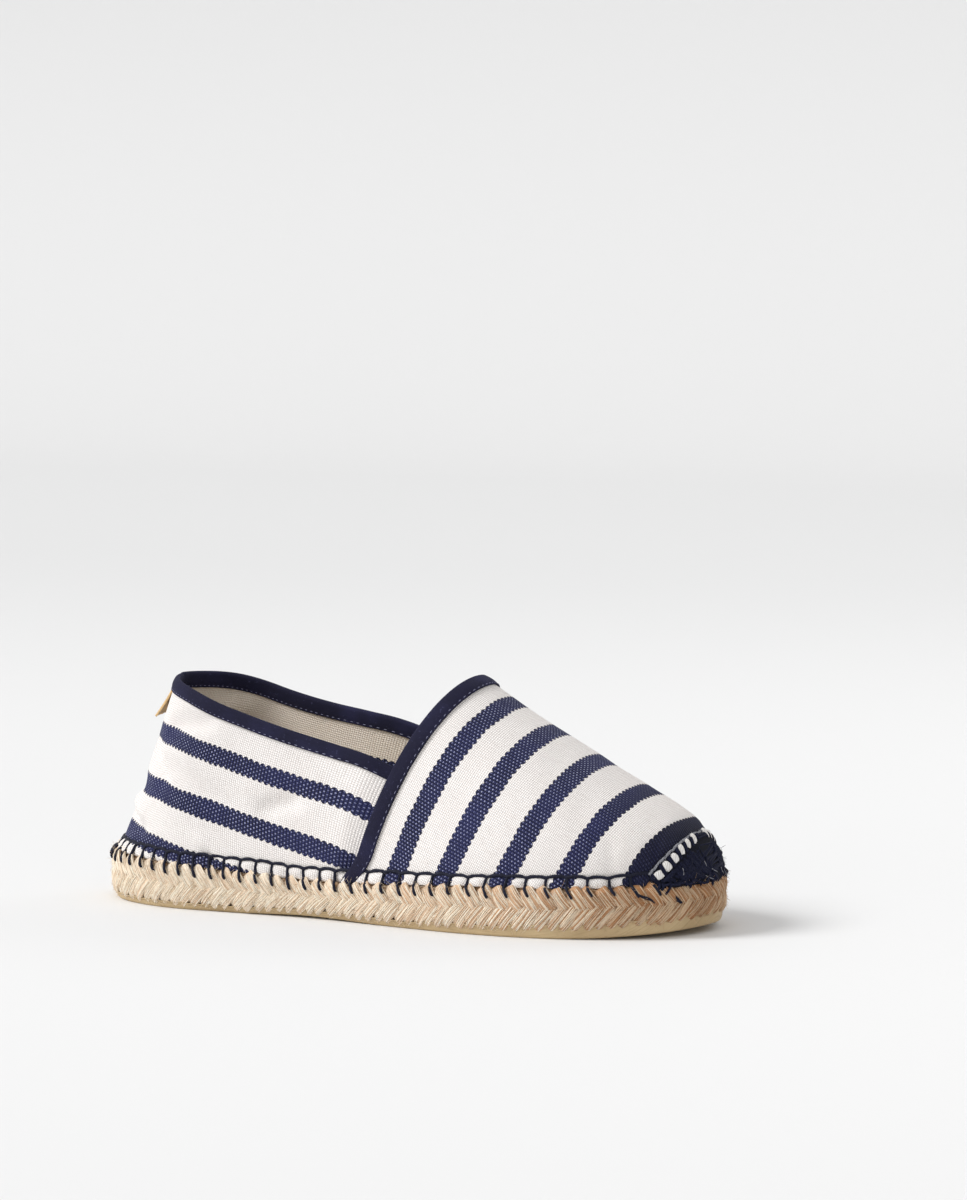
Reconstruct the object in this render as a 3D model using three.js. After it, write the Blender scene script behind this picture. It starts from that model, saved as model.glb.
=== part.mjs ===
// Slip-on espadrille for the right foot: a canvas upper sewn to a plaited jute sole with a
// rubber tread under it. X runs from heel to toe, Y towards the inner side of the foot, Z up.
// The canvas is stretched between two long lines. One is the sole edge that it is sewn to, and
// the other is the ridge along the top of the foot. A rib is a stretch of canvas that climbs
// from the sole edge to the ridge, and every rib is one row of the RIBS table made smooth.
import * as THREE from 'three';

// ---- driving dimensions, millimetres ----
const LENGTH = 250;          // rubber tread, back of the heel to tip of the toe
const BALL = 86;             // breadth across the ball of the foot
const RUBBER = 3.6;          // thickness of the rubber tread
const CLOTH = 1.6;           // canvas and its backing
const INSOLE = 2.6;          // cloth-covered footbed
const TAPE = 0.8;            // folded binding tape and heel tab
const TAPE_WIDTH = 6;        // how far the vamp's binding reaches in from the edge
const COLLAR_TAPE = 4;       // and the collar's binding reaches down
const TAB = { wide: 14, tall: 10, below: 5 };   // heel tab, and how far it starts below the collar
const GAP = 0.3;             // clear space between neighbouring pieces
const TAPE_GAP = 0.45;       // and between canvas and the tape sewn round its curved edges
const JUTE_BULGE = 1.8;      // how far the plait swells past the rubber
const CANVAS_INSET = 1.5;    // canvas edge inside the rubber outline
const INSOLE_EASE = 1.4;     // slack between footbed and canvas
const TOE_SPRING = 3;        // lift of the sole at the toe tip
const ARCH_RISE = 0.8;       // lift of the sole under the arch
const ARCH = { from: 0.24, to: 0.54 };          // shares of the length
const SPRING_FROM = 0.78;    // share of the length where the toe starts to lift
const TOE_SIDE = 0.04;       // toe tip leans to the inner side, share of the ball breadth
const RIDGE_SIDE = 2;        // the ridge drifts to the inner side by this much at the toe
const VAMP_AT = 0.47;        // share of the length where the vamp's back edge meets the sole

// ---- sections ----
// sole outline: half breadths on both sides of the middle line, as shares of BALL
const OUTLINE = [
  { at: 0.045, outer: 0.225, inner: 0.225 },
  { at: 0.140, outer: 0.352, inner: 0.357 },
  { at: 0.270, outer: 0.369, inner: 0.363 },
  { at: 0.400, outer: 0.381, inner: 0.346 },
  { at: 0.530, outer: 0.444, inner: 0.398 },
  { at: 0.660, outer: 0.502, inner: 0.484 },
  { at: 0.780, outer: 0.490, inner: 0.507 },
  { at: 0.885, outer: 0.398, inner: 0.444 },
  { at: 0.965, outer: 0.219, inner: 0.294 },
];
// height of the line where canvas and jute are sewn together
const SEAM = [
  { at: 0.00, height: 19.0 },
  { at: 0.10, height: 18.0 },
  { at: 0.25, height: 16.0 },
  { at: 0.42, height: 14.5 },
  { at: 0.55, height: 16.0 },
  { at: 0.68, height: 18.0 },
  { at: 0.85, height: 19.0 },
  { at: 1.00, height: 20.5 },
];
// ribs: where each one starts, where its line meets the ridge, and how it bends on the way.
// lean delays the way forward, crown rounds the top, and wall keeps the side upright.
const RIBS = [
  { at: 0.00, ridgeAt: 0.149, lean: 0.58, crown: 3.00, wall: 3.00 },
  { at: 0.06, ridgeAt: 0.187, lean: 0.66, crown: 3.00, wall: 3.00 },
  { at: 0.12, ridgeAt: 0.241, lean: 0.90, crown: 3.00, wall: 3.00 },
  { at: 0.20, ridgeAt: 0.316, lean: 1.36, crown: 3.00, wall: 3.00 },
  { at: 0.32, ridgeAt: 0.436, lean: 1.73, crown: 3.00, wall: 3.00 },
  { at: 0.40, ridgeAt: 0.530, lean: 1.58, crown: 2.70, wall: 2.75 },
  { at: 0.47, ridgeAt: 0.618, lean: 1.03, crown: 2.31, wall: 2.40 },
  { at: 0.56, ridgeAt: 0.688, lean: 0.94, crown: 2.25, wall: 2.20 },
  { at: 0.64, ridgeAt: 0.751, lean: 0.87, crown: 2.20, wall: 2.08 },
  { at: 0.74, ridgeAt: 0.826, lean: 0.83, crown: 2.17, wall: 1.95 },
  { at: 0.83, ridgeAt: 0.895, lean: 0.95, crown: 2.15, wall: 1.88 },
  { at: 0.89, ridgeAt: 0.943, lean: 1.05, crown: 2.14, wall: 1.84 },
  { at: 1.00, ridgeAt: 0.972, lean: 1.15, crown: 2.13, wall: 1.81 },
];
// height of the ridge; behind the throat it is only the line that the ribs aim at
const RIDGE = [
  { at: 0.00, height: 117.0 },
  { at: 0.20, height: 115.0 },
  { at: 0.40, height: 108.5 },
  { at: 0.60, height: 93.5 },
  { at: 0.70, height: 77.9 },
  { at: 0.80, height: 63.4 },
  { at: 0.88, height: 51.9 },
  { at: 0.92, height: 46.4 },
  { at: 0.95, height: 41.2 },
  { at: 0.98, height: 32.6 },
];
// height of the collar on both sides of the foot
const COLLAR = [
  { at: 0.10, outer: 86.8, inner: 87.0 },
  { at: 0.16, outer: 83.8, inner: 85.0 },
  { at: 0.25, outer: 76.7, inner: 78.2 },
  { at: 0.32, outer: 71.7, inner: 74.3 },
  { at: 0.38, outer: 67.9, inner: 72.0 },
  { at: 0.44, outer: 64.5, inner: 69.4 },
  { at: 0.48, outer: 62.2, inner: 66.4 },
  { at: 0.53, outer: 57.6, inner: 61.1 },
];
// side of the plaited jute from rubber to canvas: share of its height, and how far it stands out
const PLAIT = [
  { rise: 0.00, out: -0.6 },
  { rise: 0.12, out: 1.2 },
  { rise: 0.28, out: JUTE_BULGE },
  { rise: 0.42, out: 1.4 },
  { rise: 0.50, out: 0.8 },
  { rise: 0.58, out: 1.3 },
  { rise: 0.72, out: JUTE_BULGE },
  { rise: 0.88, out: 1.0 },
  { rise: 1.00, out: -1.0 },
];
// side of the rubber tread from the ground up
const TREAD = [
  { rise: 0.00, out: -1.2 },
  { rise: 0.25, out: -0.3 },
  { rise: 0.60, out: 0.0 },
  { rise: 1.00, out: -0.3 },
];

// ---- mesh fineness ----
const HEEL_STEPS = 26;       // ribs on each side from the heel to the vamp's back edge
const VAMP_STEPS = 24;       // and on to the toe
const SIDE_ROWS = 9;         // rows of canvas from the sole edge up to the collar
const TOP_ROWS = 9;          // and on up to the ridge
const TAPE_ROWS = 3;         // rows across a binding

// ---- curves ----
// a smooth line through one column of a table, by the slopes between its neighbours
function column(rows, name, key = 'at') {
  const x = rows.map((row) => row[key]);
  const y = rows.map((row) => row[name]);
  const step = x.slice(1).map((value, i) => value - x[i]);
  const rate = step.map((value, i) => (y[i + 1] - y[i]) / value);
  const last = x.length - 1;
  const slope = x.map((value, i) => {
    if (i === 0) return rate[0];
    if (i === last) return rate[last - 1];
    return (step[i - 1] * rate[i] + step[i] * rate[i - 1]) / (step[i - 1] + step[i]);
  });
  return (at) => {
    const place = Math.min(Math.max(at, x[0]), x[last]);
    let i = 0;
    while (i < last - 1 && place > x[i + 1]) i += 1;
    const t = (place - x[i]) / step[i];
    const rest = 1 - t;
    return rest * rest * (1 + 2 * t) * y[i] + t * t * (3 - 2 * t) * y[i + 1]
      + step[i] * t * rest * (rest * slope[i] - t * slope[i + 1]);
  };
}

const seamHeight = column(SEAM, 'height');
const ridgeHeight = column(RIDGE, 'height');
const ridgeAt = column(RIBS, 'ridgeAt');
const crown = column(RIBS, 'crown');
const wall = column(RIBS, 'wall');
const lean = column(RIBS, 'lean');
const collarHeight = { outer: column(COLLAR, 'outer'), inner: column(COLLAR, 'inner') };
const SIDES = ['outer', 'inner'];

// how far the underside is off the ground: flat at the heel and at the ball
function lift(at) {
  const arch = (at - ARCH.from) / (ARCH.to - ARCH.from);
  const spring = Math.max(at - SPRING_FROM, 0) / (1 - SPRING_FROM);
  const rise = arch > 0 && arch < 1 ? ARCH_RISE * Math.sin(Math.PI * arch) ** 2 : 0;
  return rise + TOE_SPRING * spring * spring;
}

// one side's outline points with the tips and the first points round them
function outlineRows(side) {
  const sign = side === 'outer' ? -1 : 1;
  const across = (row, name) => new THREE.Vector2(row.at * LENGTH, row[name] * BALL);
  const mirrored = OUTLINE[0];
  const far = OUTLINE[OUTLINE.length - 1];
  const other = side === 'outer' ? 'inner' : 'outer';
  const points = OUTLINE.map((row) => across(row, side));
  points.forEach((point) => { point.y *= sign; });
  const before = across(mirrored, other);
  const after = across(far, other);
  before.y *= -sign;
  after.y *= -sign;
  const toe = new THREE.Vector2(LENGTH, TOE_SIDE * BALL);
  return [before, new THREE.Vector2(0, 0), ...points, toe, after];
}
const outlinePoints = { outer: outlineRows('outer'), inner: outlineRows('inner') };
const SPANS = OUTLINE.length + 1;    // stretches of outline from heel tip to toe tip

// a place on the outline, u from 0 at the heel to SPANS at the toe, moved out by an offset
function outline(u, side, out = 0) {
  const i = Math.min(Math.floor(u), SPANS - 1);
  const t = u - i;
  const [p0, p1, p2, p3] = outlinePoints[side].slice(i, i + 4);
  const blend = (a, b, c, d) => new THREE.Vector2(
    a * p0.x + b * p1.x + c * p2.x + d * p3.x, a * p0.y + b * p1.y + c * p2.y + d * p3.y);
  const t2 = t * t;
  const t3 = t2 * t;
  const place = blend(-t3 / 2 + t2 - t / 2, 1.5 * t3 - 2.5 * t2 + 1,
    -1.5 * t3 + 2 * t2 + t / 2, t3 / 2 - t2 / 2);
  const run = blend(-1.5 * t2 + 2 * t - 0.5, 4.5 * t2 - 5 * t, -4.5 * t2 + 4 * t + 0.5,
    1.5 * t2 - t).normalize();
  const sign = side === 'outer' ? 1 : -1;
  return new THREE.Vector2(place.x + sign * run.y * out, place.y - sign * run.x * out);
}

// where along the outline a share of the length is reached
function stationOf(at) {
  let low = 0;
  let high = SPANS;
  for (let turn = 0; turn < 40; turn += 1) {
    const middle = (low + high) / 2;
    if (outline(middle, 'outer').x < at * LENGTH) low = middle;
    else high = middle;
  }
  return (low + high) / 2;
}
const VAMP_U = stationOf(VAMP_AT);

const steps = (from, to, count) =>
  Array.from({ length: count + 1 }, (unused, i) => from + (to - from) * i / count);
const QUARTER = steps(0, VAMP_U, HEEL_STEPS);
const STATIONS = [...QUARTER, ...steps(VAMP_U, SPANS, VAMP_STEPS).slice(1)];

// ---- the last: outer face of the canvas ----
// v climbs a rib from 0 at the sole edge to 1 on the ridge
function canvas(u, side, v) {
  const at = outline(u, side).x / LENGTH;
  const foot = outline(u, side, -CANVAS_INSET);
  const angle = Math.PI / 2 * v;
  const along = Math.sin(angle) ** lean(at);
  const across = 1 - Math.cos(angle) ** (2 / crown(at));
  const rise = Math.sin(angle) ** (2 / wall(at));
  const topX = ridgeAt(at) * LENGTH;
  const topY = RIDGE_SIDE * Math.max(ridgeAt(at) - 0.6, 0) / 0.4;
  const x = foot.x + (topX - foot.x) * along;
  const y = foot.y + (topY - foot.y) * across;
  const base = seamHeight(at);
  return new THREE.Vector3(x, y, base + (ridgeHeight(x / LENGTH) - base) * rise);
}

// v where the rib reaches the collar
function collarV(u, side) {
  let low = 0;
  let high = 1;
  for (let turn = 0; turn < 40; turn += 1) {
    const middle = (low + high) / 2;
    const place = canvas(u, side, middle);
    if (place.z < collarHeight[side](place.x / LENGTH)) low = middle;
    else high = middle;
  }
  return (low + high) / 2;
}

// rows of a whole rib: up to the height where the collar meets the vamp, and on to the ridge
const JOIN = { outer: collarV(VAMP_U, 'outer'), inner: collarV(VAMP_U, 'inner') };
const ribRows = (side) =>
  [...steps(0, JOIN[side], SIDE_ROWS), ...steps(JOIN[side], 1, TOP_ROWS).slice(1)];

// outward direction, and the way up along the rib
function frameAt(u, side, v) {
  const small = 1e-3;
  if (v === 1) {                     // on the ridge: halfway between the two sides
    const [one, other] = SIDES.map((name) => frameAt(u, name, 1 - small));
    return { out: one.out.add(other.out).normalize(), up: one.up };
  }
  const [u0, u1] = [Math.max(u - small, 0), Math.min(u + small, SPANS)];
  const [v0, v1] = [Math.max(v - small, 0), Math.min(v + small, 1)];
  const run = canvas(u1, side, v).sub(canvas(u0, side, v));
  const up = canvas(u, side, v1).sub(canvas(u, side, v0)).normalize();
  const out = run.cross(up).normalize();
  if (side === 'inner') out.negate();
  return { out, up };
}

// ---- closed meshes from rings and sheets ----
function meshOf(name, points, faces, look) {
  const geometry = new THREE.BufferGeometry();
  const flat = points.flatMap((point) => [point.x, point.y, point.z]);
  geometry.setAttribute('position', new THREE.Float32BufferAttribute(flat, 3));
  geometry.setIndex(faces.flat());
  geometry.computeVertexNormals();
  const mesh = new THREE.Mesh(geometry, new THREE.MeshStandardMaterial(look));
  mesh.name = name;
  return mesh;
}

// a slab with the sole's outline: rows of [height, offset] from the bottom up at each station
function soleSlab(name, rows, look) {
  const count = STATIONS.length;
  const ring = 2 * (count - 1);
  const corner = (k) => (k < count ? [STATIONS[k], 'outer'] : [STATIONS[ring - k], 'inner']);
  const points = [];
  const faces = [];
  rows.forEach((row) => {
    for (let k = 0; k < ring; k += 1) {
      const [u, side] = corner(k);
      const at = outline(u, side).x / LENGTH;
      const place = outline(u, side, row.out);
      points.push(new THREE.Vector3(place.x, place.y, row.height(at)));
    }
  });
  for (let r = 0; r < rows.length - 1; r += 1) {
    for (let k = 0; k < ring; k += 1) {
      const next = (k + 1) % ring;
      const [a, b] = [r * ring + k, r * ring + next];
      faces.push([a, b, b + ring], [a, b + ring, a + ring]);
    }
  }
  // flat faces run straight across from one side's station to the other's
  const cap = (base, up) => {
    for (let k = 0; k < count - 1; k += 1) {
      const quad = [k, k + 1, (ring - k - 1) % ring, (ring - k) % ring].map((i) => base + i);
      [[0, 1, 2], [0, 2, 3]].forEach((pick) => {
        const face = pick.map((i) => quad[i]);
        if (new Set(face).size === 3) faces.push(up ? face : face.reverse());
      });
    }
  };
  cap(0, false);
  cap((rows.length - 1) * ring, true);
  return meshOf(name, points, faces, look);
}

// gives a sheet its thickness inwards: inner face, and a rim round every open edge
function thicken(points, faces, thickness, level) {
  const sheet = meshOf('sheet', points, faces, {});
  const normal = sheet.geometry.getAttribute('normal');
  const inner = points.map((point, i) => {
    const out = new THREE.Vector3().fromBufferAttribute(normal, i);
    if (level(i)) out.setZ(0).normalize();
    return point.clone().addScaledVector(out, -thickness);
  });
  const count = points.length;
  const edges = new Map();
  faces.forEach((face) => face.forEach((a, i) => {
    const b = face[(i + 1) % 3];
    if (!edges.delete(`${b} ${a}`)) edges.set(`${a} ${b}`, [a, b]);
  }));
  const lining = faces.map(([a, b, c]) => [a + count, c + count, b + count]);
  const rim = [...edges.values()].flatMap(([a, b]) =>
    [[b, a, a + count], [b, a + count, b + count]]);
  return { points: [...points, ...inner], faces: [...faces, ...lining, ...rim] };
}

// a closed section carried along a path of rings, with flat ends
function sweep(name, rings, look) {
  const size = rings[0].length;
  const points = rings.flat();
  const faces = [];
  for (let r = 0; r < rings.length - 1; r += 1) {
    for (let k = 0; k < size; k += 1) {
      const next = (k + 1) % size;
      const [a, b] = [r * size + k, r * size + next];
      faces.push([a, b, b + size], [a, b + size, a + size]);
    }
  }
  const base = (rings.length - 1) * size;
  const half = size / 2;             // the section is a strip: point k faces point size - 1 - k
  for (let k = 0; k < half - 1; k += 1) {
    const quad = [k, k + 1, size - 2 - k, size - 1 - k];
    faces.push([quad[0], quad[2], quad[1]], [quad[0], quad[3], quad[2]]);
    faces.push([base + quad[0], base + quad[1], base + quad[2]]);
    faces.push([base + quad[0], base + quad[2], base + quad[3]]);
  }
  return meshOf(name, points, faces, look);
}

// ---- pieces ----
function outsole() {
  const rows = TREAD.map((row) => ({ out: row.out, height: (at) => lift(at) + RUBBER * row.rise }));
  return soleSlab('outsole', rows, { color: 0xb49a6a, roughness: 0.55, metalness: 0 });
}

function juteSole() {
  const bottom = (at) => lift(at) + RUBBER + GAP;
  const top = (at) => seamHeight(at) - GAP;
  const rows = PLAIT.map((row) => ({
    out: row.out, height: (at) => bottom(at) + (top(at) - bottom(at)) * row.rise }));
  return soleSlab('jute_sole', rows, { color: 0xd6b48a, roughness: 0.95, metalness: 0 });
}

function insole() {
  const edge = -(CANVAS_INSET + CLOTH + GAP + INSOLE_EASE);
  const rows = [[0, 0], [INSOLE * 0.6, 0], [INSOLE, -1.2]].map(([rise, out]) => ({
    out: edge + out, height: (at) => seamHeight(at) + rise }));
  return soleSlab('insole', rows, { color: 0xd8cbb2, roughness: 0.9, metalness: 0 });
}

function upper() {
  const points = [];
  const faces = [];
  const index = new Map();
  const tips = [0, STATIONS.length - 1];
  const rowsAt = (i) => (i < HEEL_STEPS ? SIDE_ROWS : SIDE_ROWS + TOP_ROWS);
  const climb = { outer: ribRows('outer'), inner: ribRows('inner') };
  // both sides share the rib at the heel, the rib at the toe, and the ridge
  const vertex = (i, side, row) => {
    const shared = tips.includes(i) || row === SIDE_ROWS + TOP_ROWS;
    const key = `${i} ${shared ? 'both' : side} ${row}`;
    if (!index.has(key)) {
      const v = i < HEEL_STEPS ? collarV(STATIONS[i], side) * row / SIDE_ROWS
        : climb[side][row];
      index.set(key, points.length);
      points.push(canvas(STATIONS[i], side, v));
    }
    return index.get(key);
  };
  SIDES.forEach((side) => {
    for (let i = 0; i < STATIONS.length - 1; i += 1) {
      for (let row = 0; row < rowsAt(i); row += 1) {
        const quad = [vertex(i, side, row), vertex(i + 1, side, row),
          vertex(i + 1, side, row + 1), vertex(i, side, row + 1)];
        if (side === 'inner') quad.reverse();
        [[0, 1, 2], [0, 2, 3]].forEach((pick) => {
          const face = pick.map((k) => quad[k]);
          if (new Set(face).size === 3) faces.push(face);
        });
      }
    }
  });
  const seam = new Set([...index].filter(([key]) => key.endsWith(' 0')).map(([, i]) => i));
  const shell = thicken(points, faces, CLOTH, (i) => seam.has(i));
  return meshOf('upper', shell.points, shell.faces,
    { color: 0xf3ece6, roughness: 0.9, metalness: 0 });
}

// a point off the canvas: down the rib from v by a depth, then out by an offset
function offCanvas(u, side, v, depth, offset) {
  const edge = canvas(u, side, v);
  const frame = frameAt(u, side, v);
  if (depth <= 0) {
    return edge.addScaledVector(frame.up, -depth).addScaledVector(frame.out, offset);
  }
  let low = 0;
  let high = v;
  for (let turn = 0; turn < 30; turn += 1) {
    const middle = (low + high) / 2;
    if (canvas(u, side, middle).distanceTo(edge) > depth) low = middle;
    else high = middle;
  }
  return canvas(u, side, low).addScaledVector(frameAt(u, side, low).out, offset);
}

// tape folded over the collar, from the vamp on one side round the heel to the vamp on the other
function collarBinding() {
  const outside = TAPE_GAP + TAPE;
  const inside = -(CLOTH + TAPE_GAP + TAPE);
  const legs = steps(COLLAR_TAPE, 0, TAPE_ROWS);
  const start = stationOf(VAMP_AT - 0.022);
  const path = steps(0, start, HEEL_STEPS);
  const places = [...path.slice(1).reverse().map((u) => [u, 'outer']),
    ...path.map((u) => [u, 'inner'])];
  const rings = places.map(([u, side]) => {
    const v = collarV(u, side);
    const at = (depth, offset) => offCanvas(u, side, v, depth, offset);
    const outerFace = [...legs.map((depth) => at(depth, outside)), at(-outside, outside),
      at(-outside, inside), ...legs.map((depth, i) => at(legs[TAPE_ROWS - i], inside))];
    const innerFace = [...legs.map((depth) => at(depth, -(CLOTH + TAPE_GAP))), at(-TAPE_GAP, -(CLOTH + TAPE_GAP)),
      at(-TAPE_GAP, TAPE_GAP), ...legs.map((depth, i) => at(legs[TAPE_ROWS - i], TAPE_GAP))];
    return [...outerFace, ...innerFace];
  });
  return sweep('collar_binding', rings, { color: 0x1c1b3a, roughness: 0.85, metalness: 0 });
}

// tape along the vamp's back edge, from the sole over the throat to the sole again
function vampBinding() {
  const places = [...ribRows('outer').map((v) => [v, 'outer']),
    ...ribRows('inner').slice(0, -1).reverse().map((v) => [v, 'inner'])];
  const rings = places.map(([v, side]) => {
    // the tape's width is measured across the ribs, so the share of length it covers changes
    const widthAt = (share) => canvas(stationOf(VAMP_AT + share), side, v)
      .distanceTo(canvas(VAMP_U, side, v));
    const share = 0.01 * TAPE_WIDTH / widthAt(0.01);
    const across = steps(0, share, TAPE_ROWS);
    const layer = (offset) => across.map((part) => {
      const u = stationOf(VAMP_AT + part);
      return canvas(u, side, v).addScaledVector(frameAt(u, side, v).out, offset);
    });
    return [...layer(TAPE_GAP + TAPE), ...layer(TAPE_GAP).reverse()];
  });
  return sweep('vamp_binding', rings, { color: 0x1c1b3a, roughness: 0.85, metalness: 0 });
}

// plain woven tab behind the heel, below the binding
function heelTab() {
  const rows = 4;
  const heights = steps(TAB.below, TAB.below + TAB.tall, rows);
  const across = steps(-TAB.wide / 2, TAB.wide / 2, 6);
  const top = collarV(0, 'outer');
  const rings = heights.map((depth) => {
    const centre = offCanvas(0, 'outer', top, depth, 0);
    const layer = (offset) => across.map((y) => {
      const side = y < 0 ? 'outer' : 'inner';
      let low = 0;
      let high = VAMP_U;
      let place = centre;
      for (let turn = 0; turn < 30; turn += 1) {
        const u = (low + high) / 2;
        let [v0, v1] = [0, 1];
        for (let inner = 0; inner < 30; inner += 1) {
          const v = (v0 + v1) / 2;
          if (canvas(u, side, v).z < centre.z) v0 = v;
          else v1 = v;
        }
        place = canvas(u, side, v0).addScaledVector(frameAt(u, side, v0).out, offset);
        if (Math.abs(place.y) < Math.abs(y)) low = u;
        else high = u;
      }
      return place;
    });
    return [...layer(TAPE_GAP + TAPE), ...layer(TAPE_GAP).reverse()];
  });
  return sweep('heel_tab', rings, { color: 0xcda569, roughness: 0.8, metalness: 0 });
}

// ---- the shoe, with the origin on the ground under the middle of its box ----
const shoe = new THREE.Group();
shoe.name = 'espadrille';
shoe.add(outsole(), juteSole(), insole(), upper(), collarBinding(), vampBinding(), heelTab());
const box = new THREE.Box3().setFromObject(shoe);
const centre = box.getCenter(new THREE.Vector3());
shoe.position.set(-centre.x, -centre.y, -box.min.z);

export default shoe;
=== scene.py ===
# %% [markdown]
# # A canvas espadrille for the right foot
# An espadrille is canvas sewn straight onto a plaited rope sole. This lesson finishes one round a
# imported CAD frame, which already holds the sizes, the hollow upper and the flat tread it stands on.
# Every piece here follows the same few curves as the frame, so nothing has to be fitted by eye.

# %% Load the frame
import math

import bmesh
import bpy
import numpy as np
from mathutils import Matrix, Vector


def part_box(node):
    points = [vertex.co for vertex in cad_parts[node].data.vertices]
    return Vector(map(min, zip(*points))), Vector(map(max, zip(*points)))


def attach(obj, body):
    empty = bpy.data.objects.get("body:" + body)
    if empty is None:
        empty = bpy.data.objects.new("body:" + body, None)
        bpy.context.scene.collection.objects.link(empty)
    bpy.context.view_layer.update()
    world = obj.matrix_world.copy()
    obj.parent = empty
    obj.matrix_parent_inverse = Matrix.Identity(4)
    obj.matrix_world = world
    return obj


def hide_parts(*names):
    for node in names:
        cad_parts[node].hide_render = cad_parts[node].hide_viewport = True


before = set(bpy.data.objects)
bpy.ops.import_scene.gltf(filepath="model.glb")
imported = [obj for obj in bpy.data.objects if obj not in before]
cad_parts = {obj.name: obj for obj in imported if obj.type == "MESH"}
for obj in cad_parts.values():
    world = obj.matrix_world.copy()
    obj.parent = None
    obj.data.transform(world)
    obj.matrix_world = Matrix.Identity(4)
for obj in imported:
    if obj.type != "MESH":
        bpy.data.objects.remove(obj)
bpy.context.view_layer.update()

MM = 0.001                      # the tables below are in millimetres, Blender is in metres
chance = np.random.default_rng(38)
print("frame nodes:", ", ".join(sorted(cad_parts)))

# %% [markdown]
# ## The form of the foot
# Shoemakers stretch canvas over a wooden last. The last is described here by short tables: the
# outline of the sole, the height of the seam between canvas and rope, and ribs that climb from
# that seam to the ridge on top of the foot. A spline through each column makes them smooth.
# Sculpting by hand would also work, but then canvas, tape and thread would drift apart.

# %% Driving sizes
LENGTH = 250.0                  # rubber tread, heel to toe
BALL = 86.0                     # breadth across the ball of the foot
CANVAS_INSET = 1.5              # canvas edge inside the rubber outline
TOE_SIDE = 0.04                 # toe tip leans inwards, share of the ball breadth
RIDGE_SIDE = 2.0                # drift of the ridge to the inner side at the toe
RIDGE_DRIFTS = 0.6              # share of the length where that drift starts
VAMP_AT = 0.47                  # where the vamp's back edge meets the sole, share of the length
CLOTH = 1.2                     # thickness of the canvas
OUTER, INNER = -1, 1            # sides of the foot, by the sign of y

OUTLINE = {
    "at":    (0.045, 0.140, 0.270, 0.400, 0.530, 0.660, 0.780, 0.885, 0.965),
    "outer": (0.225, 0.352, 0.369, 0.381, 0.444, 0.502, 0.490, 0.398, 0.219),
    "inner": (0.225, 0.357, 0.363, 0.346, 0.398, 0.484, 0.507, 0.444, 0.294),
}
SEAM = {
    "at":     (0.00, 0.10, 0.25, 0.42, 0.55, 0.68, 0.85, 1.00),
    "height": (19.0, 18.0, 16.0, 14.5, 16.0, 18.0, 19.0, 20.5),
}
RIBS = {
    "at":       (0, .06, .12, .20, .32, .40, .47, .56, .64, .74, .83, .89, 1.0),
    "ridge_at": (.149, .187, .241, .316, .436, .530, .618, .688, .751, .826, .895, .943, .972),
    "lean":     (.58, .66, .90, 1.36, 1.73, 1.58, 1.03, .94, .87, .83, .95, 1.05, 1.15),
    "crown":    (3, 3, 3, 3, 3, 2.7, 2.31, 2.25, 2.20, 2.17, 2.15, 2.14, 2.13),
    "wall":     (3, 3, 3, 3, 3, 2.75, 2.40, 2.20, 2.08, 1.95, 1.88, 1.84, 1.81),
}
RIDGE = {
    "at":     (0.00, 0.20, 0.40, 0.60, 0.70, 0.80, 0.88, 0.92, 0.95, 0.98),
    "height": (117, 115, 108.5, 93.5, 77.9, 63.4, 51.9, 46.4, 41.2, 32.6),
}
COLLAR = {
    "at":    (0.10, 0.16, 0.25, 0.32, 0.38, 0.44, 0.48, 0.53),
    "outer": (86.8, 83.8, 76.7, 71.7, 67.9, 64.5, 62.2, 57.6),
    "inner": (87.0, 85.0, 78.2, 74.3, 72.0, 69.4, 66.4, 61.1),
}
COLLAR_CUT = {                  # how far below a stripe's thread the collar is cut
    "at":    (0.10, 0.16, 0.25, 0.32, 0.38, 0.44, 0.48, 0.53),
    "outer": (0.0, 1.2, 2.5, 2.6, 2.5, 2.5, 2.4, 1.9),
    "inner": (0.0, 0.6, 1.4, 1.1, 0.6, 0.4, 0.4, 0.4),
}


# %% A smooth line through one column of a table
def column(table, name, key="at"):
    x, y = (np.array(table[word], float) for word in (key, name))
    step, rate = np.diff(x), np.diff(y) / np.diff(x)
    middle = (step[:-1] * rate[1:] + step[1:] * rate[:-1]) / (step[:-1] + step[1:])
    slope = np.concatenate([rate[:1], middle, rate[-1:]])

    def curve(at):
        at = np.clip(np.asarray(at, float), x[0], x[-1])
        i = np.clip(np.searchsorted(x, at, side="right") - 1, 0, len(x) - 2)
        t = (at - x[i]) / step[i]
        rest = 1 - t
        ends = rest * rest * (1 + 2 * t) * y[i] + t * t * (3 - 2 * t) * y[i + 1]
        return ends + step[i] * t * rest * (rest * slope[i] - t * slope[i + 1])
    return curve


seam_height = column(SEAM, "height")
ridge_height = column(RIDGE, "height")
ridge_at, lean, crown, wall = (column(RIBS, name) for name in ("ridge_at", "lean", "crown", "wall"))
collar_outer, collar_inner = column(COLLAR, "outer"), column(COLLAR, "inner")
cut_outer, cut_inner = column(COLLAR_CUT, "outer"), column(COLLAR_CUT, "inner")
print("seam height at heel, waist and toe:", [round(float(seam_height(a)), 1) for a in (0, .42, 1)])

# %% The outline of the sole
# u counts the spans between outline rows, from 0 at the heel tip to SPANS at the toe tip
SPANS = len(OUTLINE["at"]) + 1


def outline_points(side):
    own, other = ("outer", "inner") if side == OUTER else ("inner", "outer")
    rows = [(a * LENGTH, side * w * BALL) for a, w in zip(OUTLINE["at"], OUTLINE[own])]
    before = (rows[0][0], -side * OUTLINE[other][0] * BALL)
    after = (rows[-1][0], -side * OUTLINE[other][-1] * BALL)
    return [before, (0, 0), *rows, (LENGTH, TOE_SIDE * BALL), after]


POINTS = np.array([outline_points(side) for side in (OUTER, INNER)], float)


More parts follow.
